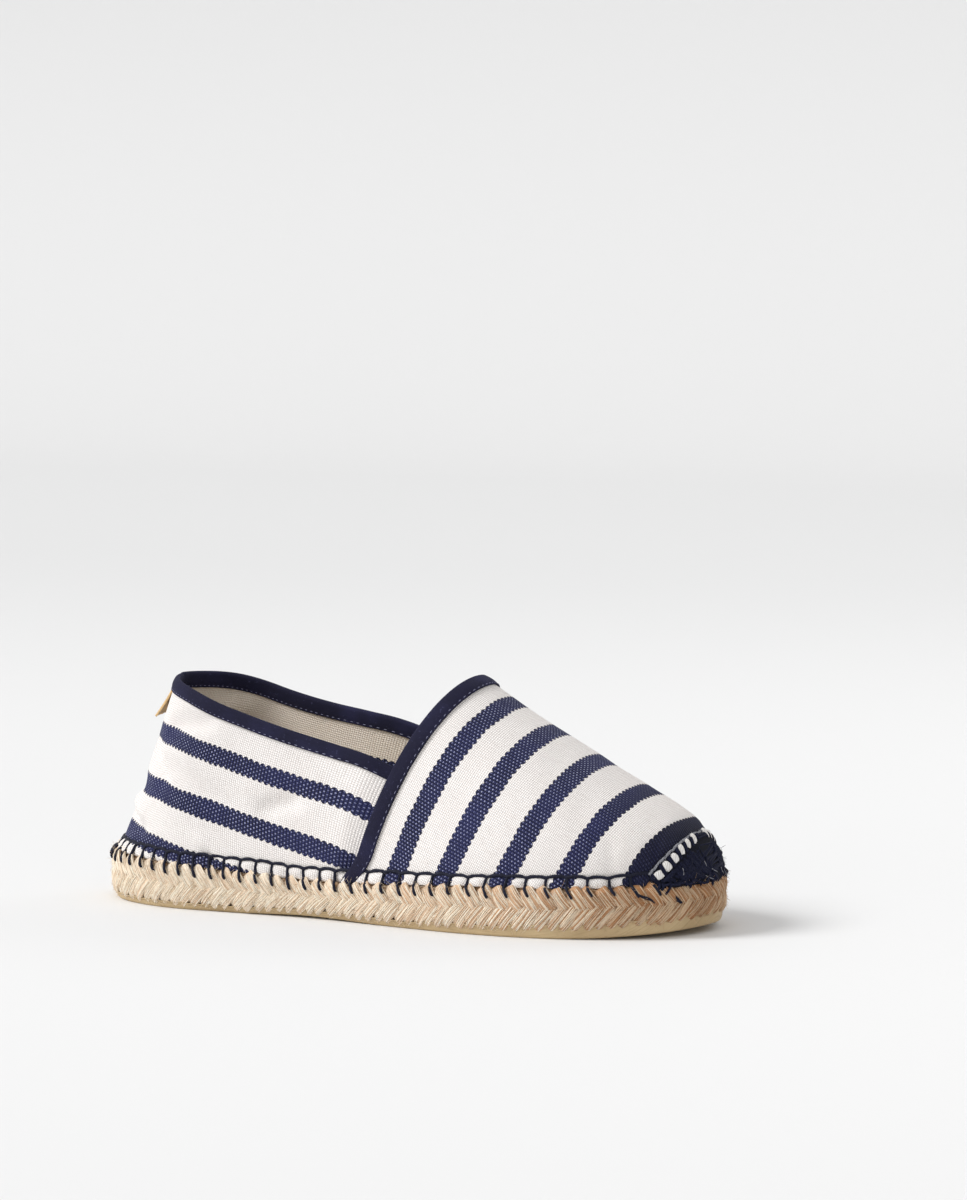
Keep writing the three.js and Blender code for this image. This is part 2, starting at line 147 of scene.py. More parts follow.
def outline(u, side, out=0.0):
    """a place on the outline, moved out by an offset"""
    u, side, out = np.broadcast_arrays(*(np.asarray(value, float) for value in (u, side, out)))
    row = (side > 0).astype(int)
    i = np.clip(np.floor(u).astype(int), 0, SPANS - 1)
    t = (u - i)[..., None]
    a, b, c, d = (POINTS[row, i + k] for k in range(4))
    spot = ((-t**3 + 2 * t * t - t) * a + (3 * t**3 - 5 * t * t + 2) * b
            + (-3 * t**3 + 4 * t * t + t) * c + (t**3 - t * t) * d) / 2
    run = ((-3 * t * t + 4 * t - 1) * a + (9 * t * t - 10 * t) * b
           + (-9 * t * t + 8 * t + 1) * c + (3 * t * t - 2 * t) * d) / 2
    run /= np.linalg.norm(run, axis=-1, keepdims=True)
    away = np.stack([-side * run[..., 1], side * run[..., 0]], -1)
    return spot + away * out[..., None]


def share(u):
    """share of the length at a station, the same on both sides"""
    return outline(u, OUTER)[..., 0] / LENGTH


EVEN_U = np.linspace(0, SPANS, 2001)


def station(at):
    return np.interp(np.asarray(at, float), share(EVEN_U), EVEN_U)


def run_table(side):
    gaps = np.linalg.norm(np.diff(outline(EVEN_U, side), axis=0), axis=1)
    return np.concatenate([[0], np.cumsum(gaps)])


RUNS = {side: run_table(side) for side in (OUTER, INNER)}
GIRTH = RUNS[OUTER][-1] + RUNS[INNER][-1]
VAMP_U = float(station(VAMP_AT))


def run_to(u, side):
    """length of outline from the heel tip to a station"""
    return np.where(side > 0, np.interp(u, EVEN_U, RUNS[INNER]), np.interp(u, EVEN_U, RUNS[OUTER]))


def station_of_run(run, side):
    return np.where(side > 0, np.interp(run, RUNS[INNER], EVEN_U),
                    np.interp(run, RUNS[OUTER], EVEN_U))


# the frame's origin is under the middle of its box
tread_low, tread_high = (np.array(corner)[:2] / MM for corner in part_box("outsole"))
rim = np.concatenate([outline(EVEN_U, side) for side in (OUTER, INNER)])
SHIFT = np.append((tread_low + tread_high) / 2 - (rim.min(0) + rim.max(0)) / 2, 0.0)
print("girth of the sole %.0f mm, shift to the frame %.2f, %.2f mm" % (GIRTH, *SHIFT[:2]))


# %% The canvas surface
# v climbs a rib from 0 at the seam to 1 on the ridge
def canvas(u, side, v):
    u, side, v = np.broadcast_arrays(*(np.asarray(value, float) for value in (u, side, v)))
    at, foot = share(u), outline(u, side, -CANVAS_INSET)
    angle = np.pi / 2 * np.clip(v, 0, 1)
    along = np.sin(angle) ** lean(at)
    across = 1 - np.clip(np.cos(angle), 0, 1) ** (2 / crown(at))
    rise = np.sin(angle) ** (2 / wall(at))
    top_y = RIDGE_SIDE * np.maximum(ridge_at(at) - RIDGE_DRIFTS, 0) / (1 - RIDGE_DRIFTS)
    x = foot[..., 0] + (ridge_at(at) * LENGTH - foot[..., 0]) * along
    y = foot[..., 1] + (top_y - foot[..., 1]) * across
    base = seam_height(at)
    return np.stack([x, y, base + (ridge_height(x / LENGTH) - base) * rise], -1)


def unit(vectors):
    return vectors / np.maximum(np.linalg.norm(vectors, axis=-1, keepdims=True), 1e-9)


def canvas_out(u, side, v):
    """outward direction, by small steps along and up the canvas"""
    small = 4e-3
    u, v = np.clip(u, small, SPANS - small), np.clip(v, small, 1 - small)
    run = canvas(u + small, side, v) - canvas(u - small, side, v)
    climb = canvas(u, side, v + small) - canvas(u, side, v - small)
    side = np.broadcast_to(np.asarray(side, float), run.shape[:-1])
    return unit(np.cross(run, climb)) * -side[..., None]


def collar_v(u, side):
    """v where a rib reaches the collar"""
    low, high = np.zeros(np.shape(u)), np.ones(np.shape(u))
    for _ in range(30):
        middle = (low + high) / 2
        spot = canvas(u, side, middle)
        at = spot[..., 0] / LENGTH
        under = spot[..., 2] < np.where(np.asarray(side) > 0, collar_inner(at), collar_outer(at))
        low, high = np.where(under, middle, low), np.where(under, high, middle)
    return low


def collar_cut(u, side):
    at = canvas(u, side, collar_v(u, side))[..., 0] / LENGTH
    return np.where(np.asarray(side) > 0, cut_inner(at), cut_outer(at))


EVEN_V = np.linspace(0, 1, 241)


def rib_lengths(u, side):
    """how far up each rib every EVEN_V lies, one row for each rib"""
    spots = canvas(np.asarray(u)[:, None], np.asarray(side)[:, None], EVEN_V)
    gaps = np.linalg.norm(np.diff(spots, axis=1), axis=2)
    return np.concatenate([np.zeros((len(gaps), 1)), np.cumsum(gaps, axis=1)], axis=1)


def v_of_climb(climb, lengths):
    return np.array([np.interp(row, table, EVEN_V) for row, table in zip(climb, lengths)])


def collar_climb(u, side, lengths):
    """how far up each rib the collar lies"""
    return np.array([np.interp(v, EVEN_V, row) for v, row in zip(collar_v(u, side), lengths)])


def smooth(low, high, value):
    t = np.clip((np.asarray(value, float) - low) / (high - low), 0, 1)
    return t * t * (3 - 2 * t)


print("throat %.1f mm above the ground" % canvas(VAMP_U, OUTER, 1)[2])

# %% [markdown]
# ## Camera, floor and light
# The camera stands 1.8 m away with a long lens, a little above the shoe and towards its toe, which
# keeps the heel and the toe in proportion. A pale floor that bends up into the backdrop gives an
# even ground, and large soft lights from the upper left give the canvas its quiet modelling.

# %% Camera
CAMERA_PLACE = Vector((752.0, -1612.6, 272.3)) * MM
CAMERA_AIM = Vector((20.0, 24.7, 118.1)) * MM
LENS = 140.94                   # on a 36 mm sensor

camera = bpy.data.objects.new("camera", bpy.data.cameras.new("camera"))
bpy.context.scene.collection.objects.link(camera)
camera.location = CAMERA_PLACE
camera.rotation_mode = "QUATERNION"
camera.rotation_quaternion = (CAMERA_AIM - CAMERA_PLACE).to_track_quat("-Z", "Y")
camera.data.lens = LENS
camera.data.sensor_width = 36
camera.data.clip_start, camera.data.clip_end = 0.05, 30
bpy.context.scene.camera = camera
bpy.context.scene.view_settings.view_transform = "Standard"
print("camera %.2f m from the shoe" % CAMERA_PLACE.length)


# %% A mesh from rows of points
# create_grid makes the faces, and its vertices are then moved to the rows of points given here.
def skin(bm, points, flat):
    """adds a grid to bm; points is rows x columns x 3 in millimetres, flat is the same for the UV"""
    rows, columns = points.shape[0] - 1, points.shape[1] - 1
    made = bmesh.ops.create_grid(bm, x_segments=columns, y_segments=rows, size=0.5)["verts"]
    layer = bm.loops.layers.uv.verify()
    spots = {v: (round((v.co.y + 0.5) * rows), round((v.co.x + 0.5) * columns)) for v in made}
    for vert, spot in spots.items():
        vert.co = (points[spot] + SHIFT) * MM
        for loop in vert.link_loops:
            loop[layer].uv = flat[spot]
    return spots


def piece(name, bm, materials, replaces=(), weld=1e-6, closed=True):
    """turns a bmesh into a finished piece of the shoe"""
    bmesh.ops.remove_doubles(bm, verts=bm.verts, dist=weld)
    bmesh.ops.dissolve_degenerate(bm, edges=bm.edges, dist=weld)
    if closed:
        bmesh.ops.recalc_face_normals(bm, faces=bm.faces)
    mesh = bpy.data.meshes.new(name)
    bm.to_mesh(mesh)
    bm.free()
    mesh.shade_smooth()
    made = bpy.data.objects.new(name, mesh)
    bpy.context.scene.collection.objects.link(made)
    for material in materials:
        mesh.materials.append(material)
    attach(made, "root")
    if replaces:
        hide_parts(*replaces)
    print("%s: %d faces" % (name, len(mesh.polygons)))
    return made


def thicken(made, thickness, inside=0):
    """gives an open sheet its thickness, inwards from the face that shows; inside picks the
    material of the hidden face"""
    wall = made.modifiers.new("thickness", "SOLIDIFY")
    wall.thickness = thickness * MM
    wall.offset = -1
    wall.use_even_offset = False
    wall.material_offset = inside


def frame_along(path, out):
    """sideways and outward directions along a path that lies on something"""
    ahead = unit(np.gradient(path, axis=0))
    side = unit(np.cross(ahead, out))
    return side, np.cross(side, ahead)


def sweep(rods, path, out, half_wide, half_deep, around=8, ply=0, twist=0.0, phase=0.0, start=(0, 0)):
    """adds a closed rod along a path to a list; out points away from what it lies on, the half
    sizes give its width across and its depth at each point, ply is the number of yarns in it"""
    side, up = frame_along(path, out)
    run = np.concatenate([[0], np.cumsum(np.linalg.norm(np.diff(path, axis=0), axis=1))])
    turn = np.linspace(0, 2 * np.pi, around + 1)
    swell = 1 + (0.10 * np.cos(ply * turn + twist * run[:, None] + phase) if ply else 0)
    wide = (half_wide * np.ones(len(path)))[:, None] * np.cos(turn) * swell
    deep = (half_deep * np.ones(len(path)))[:, None] * np.sin(turn) * swell
    points = path[:, None] + side[:, None] * wide[..., None] + up[:, None] * deep[..., None]
    points[0] = path[0]
    points[-1] = path[-1]
    girth = np.mean(half_wide + half_deep) * np.pi
    flat = np.stack(np.broadcast_arrays(start[0] + run[:, None],
                                        start[1] + girth * turn / (2 * np.pi)), -1)
    rods.append((points, flat))


def join_rods(rods):
    """one bmesh of many rods; those with the same number of sides share a grid, which is then
    cut apart between them, because one long grid is made far faster than many short ones"""
    bm = bmesh.new()
    gaps = []
    for sides in sorted({points.shape[1] for points, _ in rods}):
        same = [rod for rod in rods if rod[0].shape[1] == sides]
        spots = skin(bm, *(np.concatenate(part) for part in zip(*same)))
        last = set(np.cumsum([len(points) for points, _ in same])[:-1] - 1)
        faces = {face for vert in spots for face in vert.link_faces}
        gaps += [face for face in faces if min(spots[vert][0] for vert in face.verts) in last]
    bmesh.ops.delete(bm, geom=gaps, context="FACES")
    return bm


# %% Floor and backdrop
PAPER_FROM, PAPER_TO = -1.0, 3.0        # metres in front of and behind the shoe
# painted light falloff: the paper's tone at each distance, darker far behind the shoe and close to
# the camera
PAPER_PAINTED_FALLOFF = ((-1.0, 0.745), (3.0, 0.70), (-0.10, 0.815), (0.25, 0.80), (1.6, 0.72))


def backdrop():
    """a floor that runs back and bends up into a wall"""
    bend, depth, width, tall = 900.0, 2600.0, 9000.0, 5200.0
    row = [(-width / 2, -4200, 0), (-width / 2, depth, 0)]
    angles = np.linspace(0, np.pi / 2, 17)[1:]
    row += [(-width / 2, depth + bend * np.sin(a), bend - bend * np.cos(a)) for a in angles]
    row += [(-width / 2, depth + bend, tall)]
    near = np.array(row)
    far = near * (-1, 1, 1)
    bm = bmesh.new()
    skin(bm, np.stack([near, far], 1), np.zeros((len(row), 2, 2)))
    mesh = bpy.data.meshes.new("backdrop")
    bm.to_mesh(mesh)
    bm.free()
    mesh.shade_smooth()
    made = bpy.data.objects.new("backdrop", mesh)
    bpy.context.scene.collection.objects.link(made)
    paper = bpy.data.materials.new("studio_paper")
    paper.use_nodes = True
    shader = paper.node_tree.nodes["Principled BSDF"]
    # painted shade: the paper is a little darker far behind the shoe and close to the camera
    axis = paper.node_tree.nodes.new("ShaderNodeTexCoord")
    parts = paper.node_tree.nodes.new("ShaderNodeSeparateXYZ")
    ramp = paper.node_tree.nodes.new("ShaderNodeValToRGB")
    metres = paper.node_tree.nodes.new("ShaderNodeMapRange")
    metres.inputs["From Min"].default_value = PAPER_FROM
    metres.inputs["From Max"].default_value = PAPER_TO
    paper.node_tree.links.new(axis.outputs["Object"], parts.inputs[0])
    paper.node_tree.links.new(parts.outputs[1], metres.inputs["Value"])
    paper.node_tree.links.new(metres.outputs[0], ramp.inputs[0])
    paper.node_tree.links.new(ramp.outputs[0], shader.inputs["Base Color"])
    ramp.color_ramp.interpolation = "EASE"
    for place, tone in PAPER_PAINTED_FALLOFF[2:]:
        ramp.color_ramp.elements.new((place - PAPER_FROM) / (PAPER_TO - PAPER_FROM))
    for stop, (place, tone) in zip(ramp.color_ramp.elements, sorted(PAPER_PAINTED_FALLOFF)):
        stop.position = (place - PAPER_FROM) / (PAPER_TO - PAPER_FROM)
        stop.color = (tone, tone, tone, 1)
    shader.inputs["Roughness"].default_value = 0.75
    shader.inputs["Specular IOR Level"].default_value = 0.2
    mesh.materials.append(paper)
    return made


backdrop()


# %% Soft lights
LIT_SPOT = (0.0, 0.0, 0.03)      # the lamps look at the middle of the shoe


def soft_light(name, place, size, power):
    lamp = bpy.data.lights.new(name, "AREA")
    lamp.shape = "DISK"
    lamp.size, lamp.energy = size, power
    made = bpy.data.objects.new(name, lamp)
    bpy.context.scene.collection.objects.link(made)
    made.location = place
    made.rotation_mode = "QUATERNION"
    made.rotation_quaternion = (Vector(LIT_SPOT) - Vector(place)).to_track_quat("-Z", "Y")
    return made


def soft_sun(name, towards, power, spread):
    """an even light from far away, with a soft-edged shadow"""
    lamp = bpy.data.lights.new(name, "SUN")
    lamp.energy, lamp.angle = power, math.radians(spread)
    made = bpy.data.objects.new(name, lamp)
    bpy.context.scene.collection.objects.link(made)
    made.rotation_mode = "QUATERNION"
    made.rotation_quaternion = Vector(towards).to_track_quat("Z", "Y")
    return made


soft_sun("key", (-0.64, -0.40, 0.66), 2.25, 24)
soft_light("fill", (-0.2, -1.5, 0.55), 1.0, 1.8)
soft_light("rim", (0.9, 1.3, 0.9), 0.8, 3.0)
world = bpy.data.worlds.new("room")
world.use_nodes = True
world.node_tree.nodes["Background"].inputs["Color"].default_value = (1.0, 1.0, 1.0, 1)
world.node_tree.nodes["Background"].inputs["Strength"].default_value = 0.62
bpy.context.scene.world = world

# %% [markdown]
# ## Yarn and weave
# Canvas, tape, thread and rope differ mostly in how their yarns cross. Two node groups hold that:
# one is a plain weave, where cords pass over and under each other, and one is a bundle of fibres.
# Both read a UV map laid out in millimetres, so a cord has its real width on every piece.

# %% Node helpers
def node(tree, kind, settings=None, **values):
    """adds a node; a value is a number or colour, or another node's output to link"""
    made = tree.nodes.new(kind)
    for name, value in (settings or {}).items():
        setattr(made, name, value)
    for name, value in values.items():
        socket = made.inputs[int(name[1:])] if name[1:].isdigit() else made.inputs[name]
        if isinstance(value, bpy.types.NodeSocket):
            tree.links.new(value, socket)
        else:
            socket.default_value = value
    return made


def sum_of(tree, operation, a, b=0.0, c=0.0):
    return node(tree, "ShaderNodeMath", {"operation": operation}, _0=a, _1=b, _2=c).outputs[0]


def remap(tree, value, low, high, to_low=0.0, to_high=1.0):
    """a soft step from one range to another"""
    made = node(tree, "ShaderNodeMapRange", {"interpolation_type": "SMOOTHSTEP"}, Value=value)
    for name, number in zip(("From Min", "From Max", "To Min", "To Max"),
                            (low, high, to_low, to_high)):
        made.inputs[name].default_value = number
    return made.outputs[0]


def mix_colour(tree, factor, a, b, blend="MIX"):
    made = node(tree, "ShaderNodeMix", {"data_type": "RGBA", "blend_type": blend})
    for socket, value in zip((made.inputs[0], made.inputs[6], made.inputs[7]), (factor, a, b)):
        if isinstance(value, bpy.types.NodeSocket):
            tree.links.new(value, socket)
        else:
            socket.default_value = value
    return made.outputs[2]


def group(name, inputs, outputs):
    """an empty node group with named number or vector inputs and number outputs"""
    tree = bpy.data.node_groups.new(name, "ShaderNodeTree")
    for word, value in inputs.items():
        kind = "NodeSocketVector" if value is None else "NodeSocketFloat"
        socket = tree.interface.new_socket(word, in_out="INPUT", socket_type=kind)
        if value is not None:
            socket.default_value = value
    for word in outputs:
        tree.interface.new_socket(word, in_out="OUTPUT", socket_type="NodeSocketFloat")
    return tree, tree.nodes.new("NodeGroupInput").outputs, tree.nodes.new("NodeGroupOutput").inputs


def use(tree, made_group, **values):
    return node(tree, "ShaderNodeGroup", {"node_tree": made_group}, **values)


def srgb(red, green, blue):
    """a colour from its usual 0 to 255 values"""
    parts = [value / 255 for value in (red, green, blue)]
    return (*[p / 12.92 if p < 0.04045 else ((p + 0.055) / 1.055) ** 2.4 for p in parts], 1.0)


# %% The plain weave
def make_weave():
    """Across and Along are millimetres, the pitches are the cords' widths. Height is 0 to 1,
    Over is 1 where a cord that runs across lies on top"""
    inputs = {"Across": 0.0, "Along": 0.0, "Across Pitch": 0.8, "Along Pitch": 1.0}
    tree, give, take = group("plain_weave", inputs, ("Height", "Over"))
    x = sum_of(tree, "DIVIDE", give["Across"], give["Across Pitch"])
    y = sum_of(tree, "DIVIDE", give["Along"], give["Along Pitch"])
    ridge_x = sum_of(tree, "ABSOLUTE", sum_of(tree, "SINE", sum_of(tree, "MULTIPLY", x, math.pi)))
    ridge_y = sum_of(tree, "ABSOLUTE", sum_of(tree, "SINE", sum_of(tree, "MULTIPLY", y, math.pi)))
    cells = sum_of(tree, "ADD", sum_of(tree, "FLOOR", x), sum_of(tree, "FLOOR", y))
    over = sum_of(tree, "FLOORED_MODULO", cells, 2.0)
    # each crossing is a small pillow, long in the way of the cord on top
    long_x = sum_of(tree, "MULTIPLY", sum_of(tree, "POWER", ridge_x, 0.35), ridge_y)
    long_y = sum_of(tree, "MULTIPLY", sum_of(tree, "POWER", ridge_y, 0.35), ridge_x)
    gap = sum_of(tree, "SUBTRACT", long_x, long_y)
    height = sum_of(tree, "MULTIPLY_ADD", gap, over, long_y)
    tree.links.new(height, take["Height"])
    tree.links.new(over, take["Over"])
    return tree


WEAVE = make_weave()


# %% The bundle of fibres
def make_fibres():
    """fibres along the first UV direction; Tone varies from fibre to fibre"""
    inputs = {"Vector": None, "Fine": 4.0, "Stretch": 0.12}
    tree, give, take = group("fibres", inputs, ("Height", "Tone"))
    axis = node(tree, "ShaderNodeSeparateXYZ", Vector=give["Vector"])
    thin = node(tree, "ShaderNodeCombineXYZ",
                X=sum_of(tree, "MULTIPLY", axis.outputs[0], give["Stretch"]), Y=axis.outputs[1])
    height = node(tree, "ShaderNodeTexNoise", {"noise_dimensions": "2D"},
                  Vector=thin.outputs[0], Scale=give["Fine"], Detail=4.0, Roughness=0.6)
    tone = node(tree, "ShaderNodeTexNoise", {"noise_dimensions": "2D"},
                Vector=thin.outputs[0], Scale=1.1, Detail=5.0, Roughness=0.7)
    tree.links.new(height.outputs[0], take["Height"])
    tree.links.new(tone.outputs[0], take["Tone"])
    return tree


FIBRES = make_fibres()
print("node groups:", WEAVE.name, FIBRES.name)

# %% [markdown]
# ## Striped canvas
# The cloth is woven with dyed yarn: thick navy cords lie beside cream ones, and the pale cord that
# crosses them shows as rows of small specks. A stripe therefore has knobbly edges, one knob for
# each pair of crossings. Painting sharp bands would look printed, so the edges follow the cords.

# %% Canvas material
CREAM, CREAM_SHADE = srgb(254, 250, 247), srgb(222, 213, 208)
# painted shade: the inside faces are the same cream cloth in warmer, darker colours, for the shade
# inside the shoe
INSIDE, INSIDE_SHADE = srgb(252, 241, 226), srgb(236, 217, 195)
NAVY, NAVY_GAP_SHADE, NAVY_SPECK = srgb(44, 48, 94), srgb(10, 10, 26), srgb(170, 174, 208)
CANVAS_PITCH = (0.80, 1.325)     # cords across and along a stripe
CREAM_PITCH = (0.84, 0.90)       # the same in the cream cloth, which is closer woven
KNOB = 2.65                     # one knob on a stripe's edge


def stripe_mask(tree, across, along, bands):
    """1 inside the bands, each given as from and to in millimetres, and 1 well inside them, clear of
    the painted shade at their edges
    """
    knob = sum_of(tree, "ABSOLUTE", sum_of(tree, "SINE",
                                           sum_of(tree, "MULTIPLY", along, math.pi / KNOB)))
    knob = sum_of(tree, "MULTIPLY", sum_of(tree, "POWER", knob, 0.7), 1.05)
    inside = -99.0
    for low, high in bands:
        near = sum_of(tree, "MINIMUM", sum_of(tree, "SUBTRACT", across, low),
                      sum_of(tree, "SUBTRACT", high, across))
        inside = sum_of(tree, "MAXIMUM", inside, near)
    inside = sum_of(tree, "ADD", inside, knob)
    return remap(tree, inside, 0.40, 0.46), remap(tree, inside, 0.55, 1.15)


def new_material(name):
    made = bpy.data.materials.new(name)
    made.use_nodes = True
    return made, made.node_tree, made.node_tree.nodes["Principled BSDF"]


def canvas_material(name, bands, light=CREAM, shade=CREAM_SHADE):
    made, tree, shader = new_material(name)
    place = node(tree, "ShaderNodeTexCoord")
    drift = node(tree, "ShaderNodeTexNoise", {"noise_dimensions": "2D"},
                 Vector=place.outputs["UV"], Scale=0.09, Detail=2.0)
    axis = node(tree, "ShaderNodeSeparateXYZ", Vector=place.outputs["UV"])
    # cords are never quite straight
    across = sum_of(tree, "MULTIPLY_ADD", drift.outputs[0], 1.1, axis.outputs[0])
    across = sum_of(tree, "SUBTRACT", across, 0.55)
    along = axis.outputs[1]
    weave = use(tree, WEAVE, **{"Across": across, "Along": along,
                                "Across Pitch": CANVAS_PITCH[0], "Along Pitch": CANVAS_PITCH[1]})
    fine = use(tree, WEAVE, **{"Across": across, "Along": along,
                               "Across Pitch": CREAM_PITCH[0], "Along Pitch": CREAM_PITCH[1]})
    dye, clear_of_edge_shade = stripe_mask(tree, across, along, bands)
    over = weave.outputs["Over"]
    # the dyed cords are the thicker ones
    change = sum_of(tree, "SUBTRACT", weave.outputs["Height"], fine.outputs["Height"])
    height = sum_of(tree, "MULTIPLY_ADD", change, dye, fine.outputs["Height"])
    # cords swell and thin out along their length, and some are darker
    slub = node(tree, "ShaderNodeTexNoise", {"noise_dimensions": "2D"},
                Vector=node(tree, "ShaderNodeMapping", Vector=place.outputs["UV"],
                            Scale=(0.16, 1.3, 1.0)).outputs[0], Scale=1.0, Detail=3.0)
    mottle = node(tree, "ShaderNodeTexNoise", Vector=place.outputs["Object"], Scale=46.0, Detail=3.0)
    wash = node(tree, "ShaderNodeTexNoise", Vector=place.outputs["Object"], Scale=420.0, Detail=2.0)
    # painted shade: the cream is darker in the low gaps of the weave
    cream = mix_colour(tree, remap(tree, height, 0.0, 0.55), shade, light)
    cream = mix_colour(tree, remap(tree, slub.outputs[0], 0.45, 0.8, 0.0, 0.28), cream, shade)
    cream = mix_colour(tree, remap(tree, mottle.outputs[0], 0.4, 0.75, 0.0, 0.18), cream,
                       srgb(244, 232, 226))
    speck = sum_of(tree, "MULTIPLY", over, remap(tree, height, 0.50, 0.92))
    speck = sum_of(tree, "MULTIPLY", speck, remap(tree, wash.outputs[0], 0.36, 0.60, 0.35, 1.0))
    # towards the toe tip the pale specks fade and the navy turns darker
    forward = node(tree, "ShaderNodeSeparateXYZ", Vector=place.outputs["Object"]).outputs[0]
    toe_tip_darkening = remap(tree, forward, 0.088, 0.106)
    speck = sum_of(tree, "MULTIPLY", speck, remap(tree, forward, 0.080, 0.100, 0.85, 0.26))
    # painted shade: the navy is darker in the low gaps of the weave
    navy = mix_colour(tree, remap(tree, height, 0.15, 0.8), NAVY_GAP_SHADE, NAVY)
    # painted shade: the loops at a stripe's edge turn away from the light, so the edge is painted
    # almost black and its specks dimmed
    navy = mix_colour(tree, clear_of_edge_shade, srgb(20, 21, 44), navy)
    speck = sum_of(tree, "MULTIPLY", speck, remap(tree, clear_of_edge_shade, 0.0, 1.0, 0.35, 1.0))
    navy = mix_colour(tree, speck, navy, NAVY_SPECK)
    navy = mix_colour(tree, remap(tree, mottle.outputs[0], 0.35, 0.7, 0.0, 0.35), navy,
                      srgb(50, 54, 104))
    navy = mix_colour(tree, sum_of(tree, "MULTIPLY", toe_tip_darkening, 0.6), navy, srgb(14, 15, 32))
    colour = mix_colour(tree, dye, cream, navy)
    tree.links.new(colour, shader.inputs["Base Color"])
    rough = sum_of(tree, "MULTIPLY_ADD", wash.outputs[0], 0.12, 0.80)
    tree.links.new(rough, shader.inputs["Roughness"])
    relief = sum_of(tree, "MULTIPLY_ADD", wash.outputs[0], 0.25, height)
    relief = sum_of(tree, "MULTIPLY_ADD", sum_of(tree, "MULTIPLY", dye, height), 0.5, relief)
    bump = node(tree, "ShaderNodeBump", Height=relief, Strength=1.0, Distance=0.26 * MM)
    tree.links.new(bump.outputs[0], shader.inputs["Normal"])
    shader.inputs["Specular IOR Level"].default_value = 0.22
    shader.inputs["Sheen Weight"].default_value = 0.04
    shader.inputs["Sheen Roughness"].default_value = 0.5
    return made


VAMP_BANDS = [(131.0, 139.3), (152.3, 160.5), (176.2, 184.6), (200.4, 208.4), (225.4, 260.0)]
QUARTER_BANDS = [(17.3, 23.6), (38.2, 45.3), (59.5, 66.0)]
canvas_vamp_look = canvas_material("canvas_vamp", VAMP_BANDS)
canvas_quarter_look = canvas_material("canvas_quarter", QUARTER_BANDS)
vamp_inside_shaded_look = canvas_material("canvas_vamp_inside_shaded", VAMP_BANDS, INSIDE, INSIDE_SHADE)
quarter_inside_shaded_look = canvas_material("canvas_quarter_inside_shaded", QUARTER_BANDS, INSIDE, INSIDE_SHADE)
print("stripes: %d on the vamp, %d on the quarter" % (len(VAMP_BANDS), len(QUARTER_BANDS)))


# %% Where the blanket stitches sit
# The hem is sewn to the rope with one leg every few millimetres, and the cloth puffs between legs.
STITCH = 6.1                    # from leg to leg at the heel
WIDENING = 8.5e-5               # the legs stand wider apart towards the toe
HEM = 4.9                       # height of the top thread above the seam
LEG_SLANT = (0.9, 2.6)          # a leg's foot is this much nearer the toe, at the heel and toe
LEG_CURL = (1.0, 0.4)           # and its middle bows back this far
PUFF = 1.35                     # how far the cloth swells between two legs
TOE_WRAP_AT = 0.936             # share of the length where the toe's dense sewing starts
PUFF_ROWS = {"up": (-1.0, 0.0, 0.7, 1.5, 2.4, 3.3, 4.1, 4.9, 5.6),
             "swell": (0.55, 0.92, 1.0, 1.0, 0.92, 0.70, 0.36, 0.0, 0.0)}
puff_profile = column(PUFF_ROWS, "swell", key="up")
WRAP_RUN = {side: float(run_to(station(TOE_WRAP_AT), side)) for side in (OUTER, INNER)}
# every puff has its own fullness, drawn once for both sides
PUFF_FULL = chance.uniform(0.72, 1.18, (2, 80))


def beat_at(run):
    """counts the legs from the heel"""
    return run / STITCH - WIDENING * run ** 2


STITCH_RUNS = np.linspace(0, 320, 1281)


def leg_run(count):
    return np.interp(count, beat_at(STITCH_RUNS), STITCH_RUNS)


def leg_bend(run, up):
    """how far a leg has moved towards the toe at a height up from the seam"""
    toe = smooth(60, 240, run)
    slant, curl = (a + (b - a) * toe for a, b in (LEG_SLANT, LEG_CURL))
    down = (HEM - up) / HEM
    return slant * down - curl * np.sin(np.pi * np.clip(down / 1.5, 0, 1))


def puff(run, side, up):
    """swell of the hem at a run along the outline and a height up from the seam"""
    beat = beat_at(run - leg_bend(run, up))
    index = np.clip(np.floor(beat), 0, 79).astype(int)
    full = PUFF_FULL[(side > 0).astype(int), index]
    hump = np.abs(np.sin(np.pi * beat)) ** 0.6
    last = np.where(side > 0, WRAP_RUN[INNER], WRAP_RUN[OUTER])
    fade = 1 - smooth(last - 2, last + 3, run)
    groove = -0.22 * np.exp(-((up - HEM) / 0.6) ** 2)
    return PUFF * full * hump * puff_profile(up) * fade + groove * fade


# %% Creases listed one by one
# Each row is a soft trough or ridge: where its middle lies, which way it runs, its size and depth.
# Along is millimetres of outline from the heel, minus on the outer side. Down is from the collar.
QUARTER_CREASES = {
    "along": (-44, -27, -20, -22, -74, -70, -58, -98, -6, 30, 52, 24, 78, 96, 12),
    "down":  (13, 31, 51, 58, 61, 57, 34, 30, 44, 15, 33, 55, 58, 26, 36),
    "turn":  (-14, 24, 12, 8, 28, 26, 10, -30, 4, 16, -20, -10, -26, 24, -8),
    "long":  (34, 30, 26, 24, 17, 16, 40, 20, 24, 34, 32, 26, 18, 22, 24),
    "wide":  (4.2, 3.8, 3.6, 3.2, 2.2, 2.4, 4.6, 3.6, 4.2, 4.2, 3.8, 3.6, 2.6, 3.8, 3.8),
    "depth": (-2.7, -3.0, 1.8, -2.6, -2.1, 1.4, -2.0, -2.2, -2.0, -2.0, -1.6, 1.4, -1.7, -1.5, .9),
}
